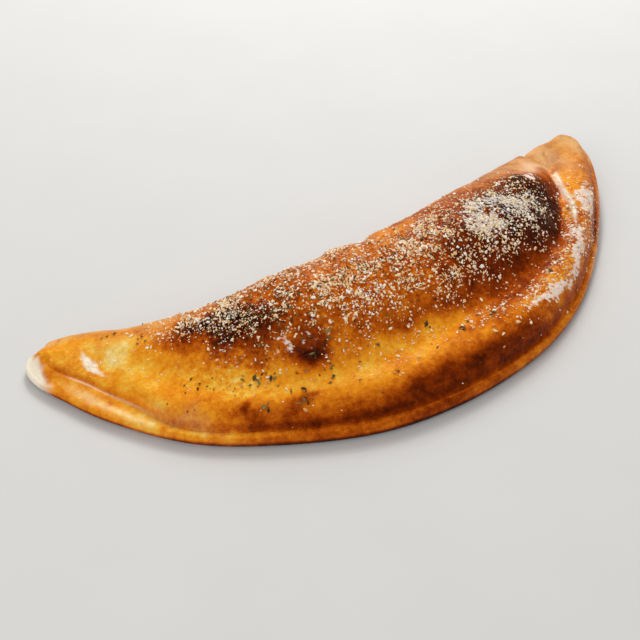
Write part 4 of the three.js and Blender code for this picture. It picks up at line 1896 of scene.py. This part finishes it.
@dataclass
class Toppings:
    """Grated cheese and dried herbs over the crust."""

    form: CalzoneForm
    grains: Topping = Topping(
        "cheese_grains", count=3000, largest=2.5, smallest=1.1, slim=(0.35, 0.8), flat=(0.35, 0.6),
        uneven=0.45, sunk=0.25, seed=Seed.GRAINS,
    )
    crumbs: Topping = Topping(
        "cheese_crumbs", count=3800, largest=1.2, smallest=0.8, slim=(0.4, 0.9), flat=(0.4, 0.7),
        uneven=0.4, sunk=0.2, seed=Seed.CRUMBS,
    )
    dust: Topping = Topping(
        "cheese_dust", count=1800, largest=0.8, smallest=0.5, slim=(0.7, 1.0), flat=(0.6, 0.9),
        uneven=0.2, sunk=0.2, seed=Seed.DUST,
    )
    flecks: Topping = Topping(
        "herb_flecks", count=850, largest=2.0, smallest=0.8, slim=(0.3, 0.6), flat=(0.3, 0.6),
        uneven=0.25, sunk=0.1, seed=Seed.FLECKS, slot=HERB_SLOT,
    )
    leaves: Topping = Topping(
        "herb_leaves", count=0, largest=3.4, smallest=1.5, slim=(0.3, 0.6), flat=(0.25, 0.5),
        uneven=0.25, sunk=0.15, seed=Seed.LEAVES, slot=HERB_SLOT,
    )
    clump_leaves: tuple[int, int] = (2, 6)
    clump_width: float = 2.2
    stray_share: float = 0.001
    heap_base: float = 0.22
    heap_size: float = 7
    heap_fine_size: float = 3
    heaps: Rise = Rise(-0.7, 0.8)
    barest: float = 0.05
    cheese_zones: tuple[Patch, ...] = (
        Patch((150, -60), (38, 20), -3, 1.0),
        Patch((154, -76), (16, 6), 0, 1.7),
        Patch((200, -60), (32, 20), 5, 0.85),
        Patch((262, -45), (34, 17), 9, 0.75),
        Patch((242, -59), (14, 11), -20, 0.8),
        Patch((92, -48), (24, 11), -28, 0.16),
        Patch((88, -39), (12, 6), -20, 0.7),
        Patch((126, -62), (10, 8), 0, 0.3),
        Patch((69, -36), (9, 5), -25, 0.3),
        Patch((104, -34), (40, 9), -8, 0.50),
        Patch((170, -102), (46, 8), 0, 0.05),
        Patch((212, -100), (24, 5), 8, 0.30),
        Patch((260, -89), (28, 4.5), 28, 0.45),
        Patch((310, -56), (30, 8), 50, 0.20),
        Patch((62, -62), (26, 14), -45, 0.03),
    )
    fine_zones: tuple[Patch, ...] = (
        Patch((90, -50), (22, 10), -28, 0.45),
        Patch((262, -45), (30, 14), 9, 0.35),
    )
    bare_zones: tuple[Patch, ...] = (
        Patch((118, -82), (12, 6), -15, 1.0),
        Patch((288, -56), (12, 6), 40, 0.8),
        Patch((306, -30), (6, 14), -20, 0.7),
        Patch((250, -76), (22, 7), 12, 0.7),
        Patch((75, -50), (12, 6), -30, 0.5),
        Patch((181, -67), (12, 8), 0, 0.7),
        Patch((199, -67), (8, 6), 0, 0.45),
        Patch((176, -81), (7, 5), 0, 0.5),
        Patch((146, -62), (6, 5), 0, 0.4),
        Patch((137, -78), (7, 5), 0, 0.6),
        Patch((276, -56), (10, 6), 0, 0.5),
    )
    paler_zones: tuple[Patch, ...] = (
        Patch((260, -48), (34, 18), 8, 0.45),
        Patch((154, -75), (15, 7), 0, 0.3),
        Patch((88, -42), (20, 9), -25, 0.2),
    )
    herb_zones: tuple[Patch, ...] = (
        Patch((106, -54), (24, 14), -25, 0.8),
        Patch((150, -62), (34, 16), 0, 0.55),
        Patch((210, -55), (40, 16), 5, 0.30),
        Patch((262, -45), (30, 14), 8, 0.30),
        Patch((105, -90), (40, 10), -25, 0.10),
    )
    herb_clumps: tuple[tuple[float, float], ...] = (
        (86, -77), (91, -78.5), (97, -83), (123, -95), (120, -85), (105, -98), (87, -96), (147, -93),
        (150, -110), (41, -12), (53, -26), (64, -66), (104, -101), (178, -93), (196, -101), (215, -99),
        (126, -82), (62, -60), (262, -88), (112, -88),
    )

    def build(self, crust: bpy.types.Object) -> list[bpy.types.Object]:
        """Strews the toppings.

        Args:
            crust: The crust that they lie on.

        Returns:
            The joined pieces, one for each kind.
        """
        surface = CrustSurface.of(crust)
        middle = (surface.corners.mean(axis=1) - tip_frame_shift(self.form)) / MM
        x, y = middle[:, 0], middle[:, 1]
        heaps = lattice_noise(x, y, self.heap_size, Seed.HEAPS)
        heaps += 0.8 * lattice_noise(x, y, self.heap_fine_size, Seed.HEAPS_FINE)
        patchy = self.heap_base + self.heaps.at(heaps)
        bare = np.clip(1 - sum_over(self.bare_zones, x, y), self.barest, 1)
        cheese = (sum_over(self.cheese_zones, x, y) + self.stray_share) * patchy * bare
        fine = cheese + sum_over(self.fine_zones, x, y) * patchy * bare
        herbs = (sum_over(self.herb_zones, x, y) + self.stray_share) * patchy
        paler = sum_over(self.paler_zones, x, y)
        finish, herb_finish = CheeseFinish().make(), HerbFinish().make()
        crumb, speck, leaf = crumb_shape(), speck_shape(), LeafScrap().shape()
        return [
            self.grains.lay(crumb, surface, cheese, finish, paler),
            self.crumbs.lay(crumb, surface, fine, finish, paler),
            self.dust.lay(speck, surface, fine, finish, paler),
            self.flecks.lay(leaf, surface, herbs, herb_finish, np.zeros(len(x))),
            self._clumps(surface, x, y, leaf, herb_finish),
        ]

    def _clumps(
        self, surface: CrustSurface, x: np.ndarray, y: np.ndarray, leaf: Shape, finish: bpy.types.Material
    ) -> bpy.types.Object:
        """Lays clumps of larger herb leaves at their places.

        Args:
            surface: Faces that they lie on.
            x: Plan places of the faces along the length.
            y: Plan places across it.
            leaf: The plain shape of a leaf.
            finish: Their material.

        Returns:
            The joined piece.
        """
        random = np.random.default_rng(self.leaves.seed)
        places, normals = [], []
        for at in self.herb_clumps:
            near = bell(np.hypot(x - at[0], y - at[1]), self.clump_width)
            seats, ups, _ = surface.scatter(int(random.integers(*self.clump_leaves)), near, random)
            places.append(seats)
            normals.append(ups)
        return self.leaves.lay_at(leaf, np.vstack(places), np.vstack(normals), finish, random)


# --------------------------------------------------------------------------------------------
# Studio
# --------------------------------------------------------------------------------------------


class LightKind(Enum):
    """What a soft light stands for."""

    WINDOW = "window"
    LAMP = "lamp"
    FILL = "fill"


@dataclass(frozen=True)
class SoftLight:
    """A square soft light that looks at the calzone.

    Args:
        kind: What it stands for; only the lamp shows in shiny surfaces.
        azimuth: Its direction, in degrees from the front.
        elevation: How high it stands, in degrees.
        distance: How far off it is, in metres.
        width: Its width in metres.
        power: Its power in watts.
    """

    kind: LightKind
    azimuth: float
    elevation: float
    distance: float
    width: float
    power: float

    def place(self) -> None:
        """Puts the light up."""
        turn, lift = math.radians(self.azimuth), math.radians(self.elevation)
        away = Vector((math.sin(turn) * math.cos(lift), -math.cos(turn) * math.cos(lift), math.sin(lift)))
        light = bpy.data.lights.new(self.kind.value, "AREA")
        light.shape = "SQUARE"
        light.size = self.width
        light.energy = self.power
        lamp = bpy.data.objects.new(self.kind.value, light)
        lamp.location = away * self.distance
        lamp.rotation_euler = (-away).to_track_quat("-Z", "Y").to_euler()
        lamp.visible_glossy = self.kind is LightKind.LAMP
        bpy.context.scene.collection.objects.link(lamp)


@dataclass(frozen=True)
class Studio:
    """Pale floor, soft lights and the camera."""

    floor_width: float = 6.0
    sky: float = 0.44
    lights: tuple[SoftLight, ...] = (
        SoftLight(LightKind.WINDOW, azimuth=145, elevation=46, distance=1.3, width=0.8, power=8),
        SoftLight(LightKind.LAMP, azimuth=152, elevation=44, distance=1.2, width=0.28, power=3.2),
        SoftLight(LightKind.FILL, azimuth=-60, elevation=34, distance=1.5, width=1.0, power=6.4),
    )
    camera_at: tuple[float, float, float] = (-0.26636, -0.39497, 0.40765)
    looking: tuple[float, float, float] = (0.3751, 0.6589, -0.6520)
    roll: float = -0.81
    lens: float = 65.68

    def build(self) -> None:
        """Sets up the floor, the lights and the camera."""
        self._floor()
        self._sky()
        for light in self.lights:
            light.place()
        self._camera()
        bpy.context.scene.view_settings.view_transform = "Standard"

    def _floor(self) -> None:
        """Lays the floor."""
        bpy.ops.object.select_all(action="DESELECT")
        bpy.ops.mesh.primitive_grid_add(x_subdivisions=4, y_subdivisions=4, size=self.floor_width)
        floor = bpy.context.object
        floor.name = "floor"
        floor.data.materials.append(FloorFinish().make())

    def _sky(self) -> None:
        """Lights the whole scene evenly, with a sky that doesn't show in shiny surfaces."""
        world = bpy.data.worlds.new("studio")
        world.use_nodes = True
        background = world.node_tree.nodes["Background"]
        background.inputs["Color"].default_value = (1, 1, 1, 1)
        background.inputs["Strength"].default_value = self.sky
        world.cycles_visibility.glossy = False
        bpy.context.scene.world = world

    def _camera(self) -> None:
        """Places the camera, turned by its small roll."""
        ahead = Vector(self.looking).normalized()
        level = ahead.cross(Vector((0, 0, 1))).normalized()
        upright = level.cross(ahead)
        roll = math.radians(self.roll)
        right = math.cos(roll) * level + math.sin(roll) * upright
        up = math.cos(roll) * upright - math.sin(roll) * level
        data = bpy.data.cameras.new("camera")
        data.lens = self.lens
        camera = bpy.data.objects.new("camera", data)
        turned = Matrix((right, up, -ahead)).transposed().to_4x4()
        camera.matrix_world = Matrix.Translation(self.camera_at) @ turned
        bpy.context.scene.collection.objects.link(camera)
        bpy.context.scene.camera = camera


def main() -> None:
    """Builds the calzone and its studio, and reports each piece."""
    logging.basicConfig(level=logging.INFO, format="%(message)s")
    form = CalzoneForm()
    crust = Crust(form).build()
    pieces = [crust, *Toppings(form).build(crust)]
    for piece in pieces:
        LOG.info("%s: %d faces", piece.name, len(piece.data.polygons))
    Studio().build()


if __name__ == "__main__":
    main()
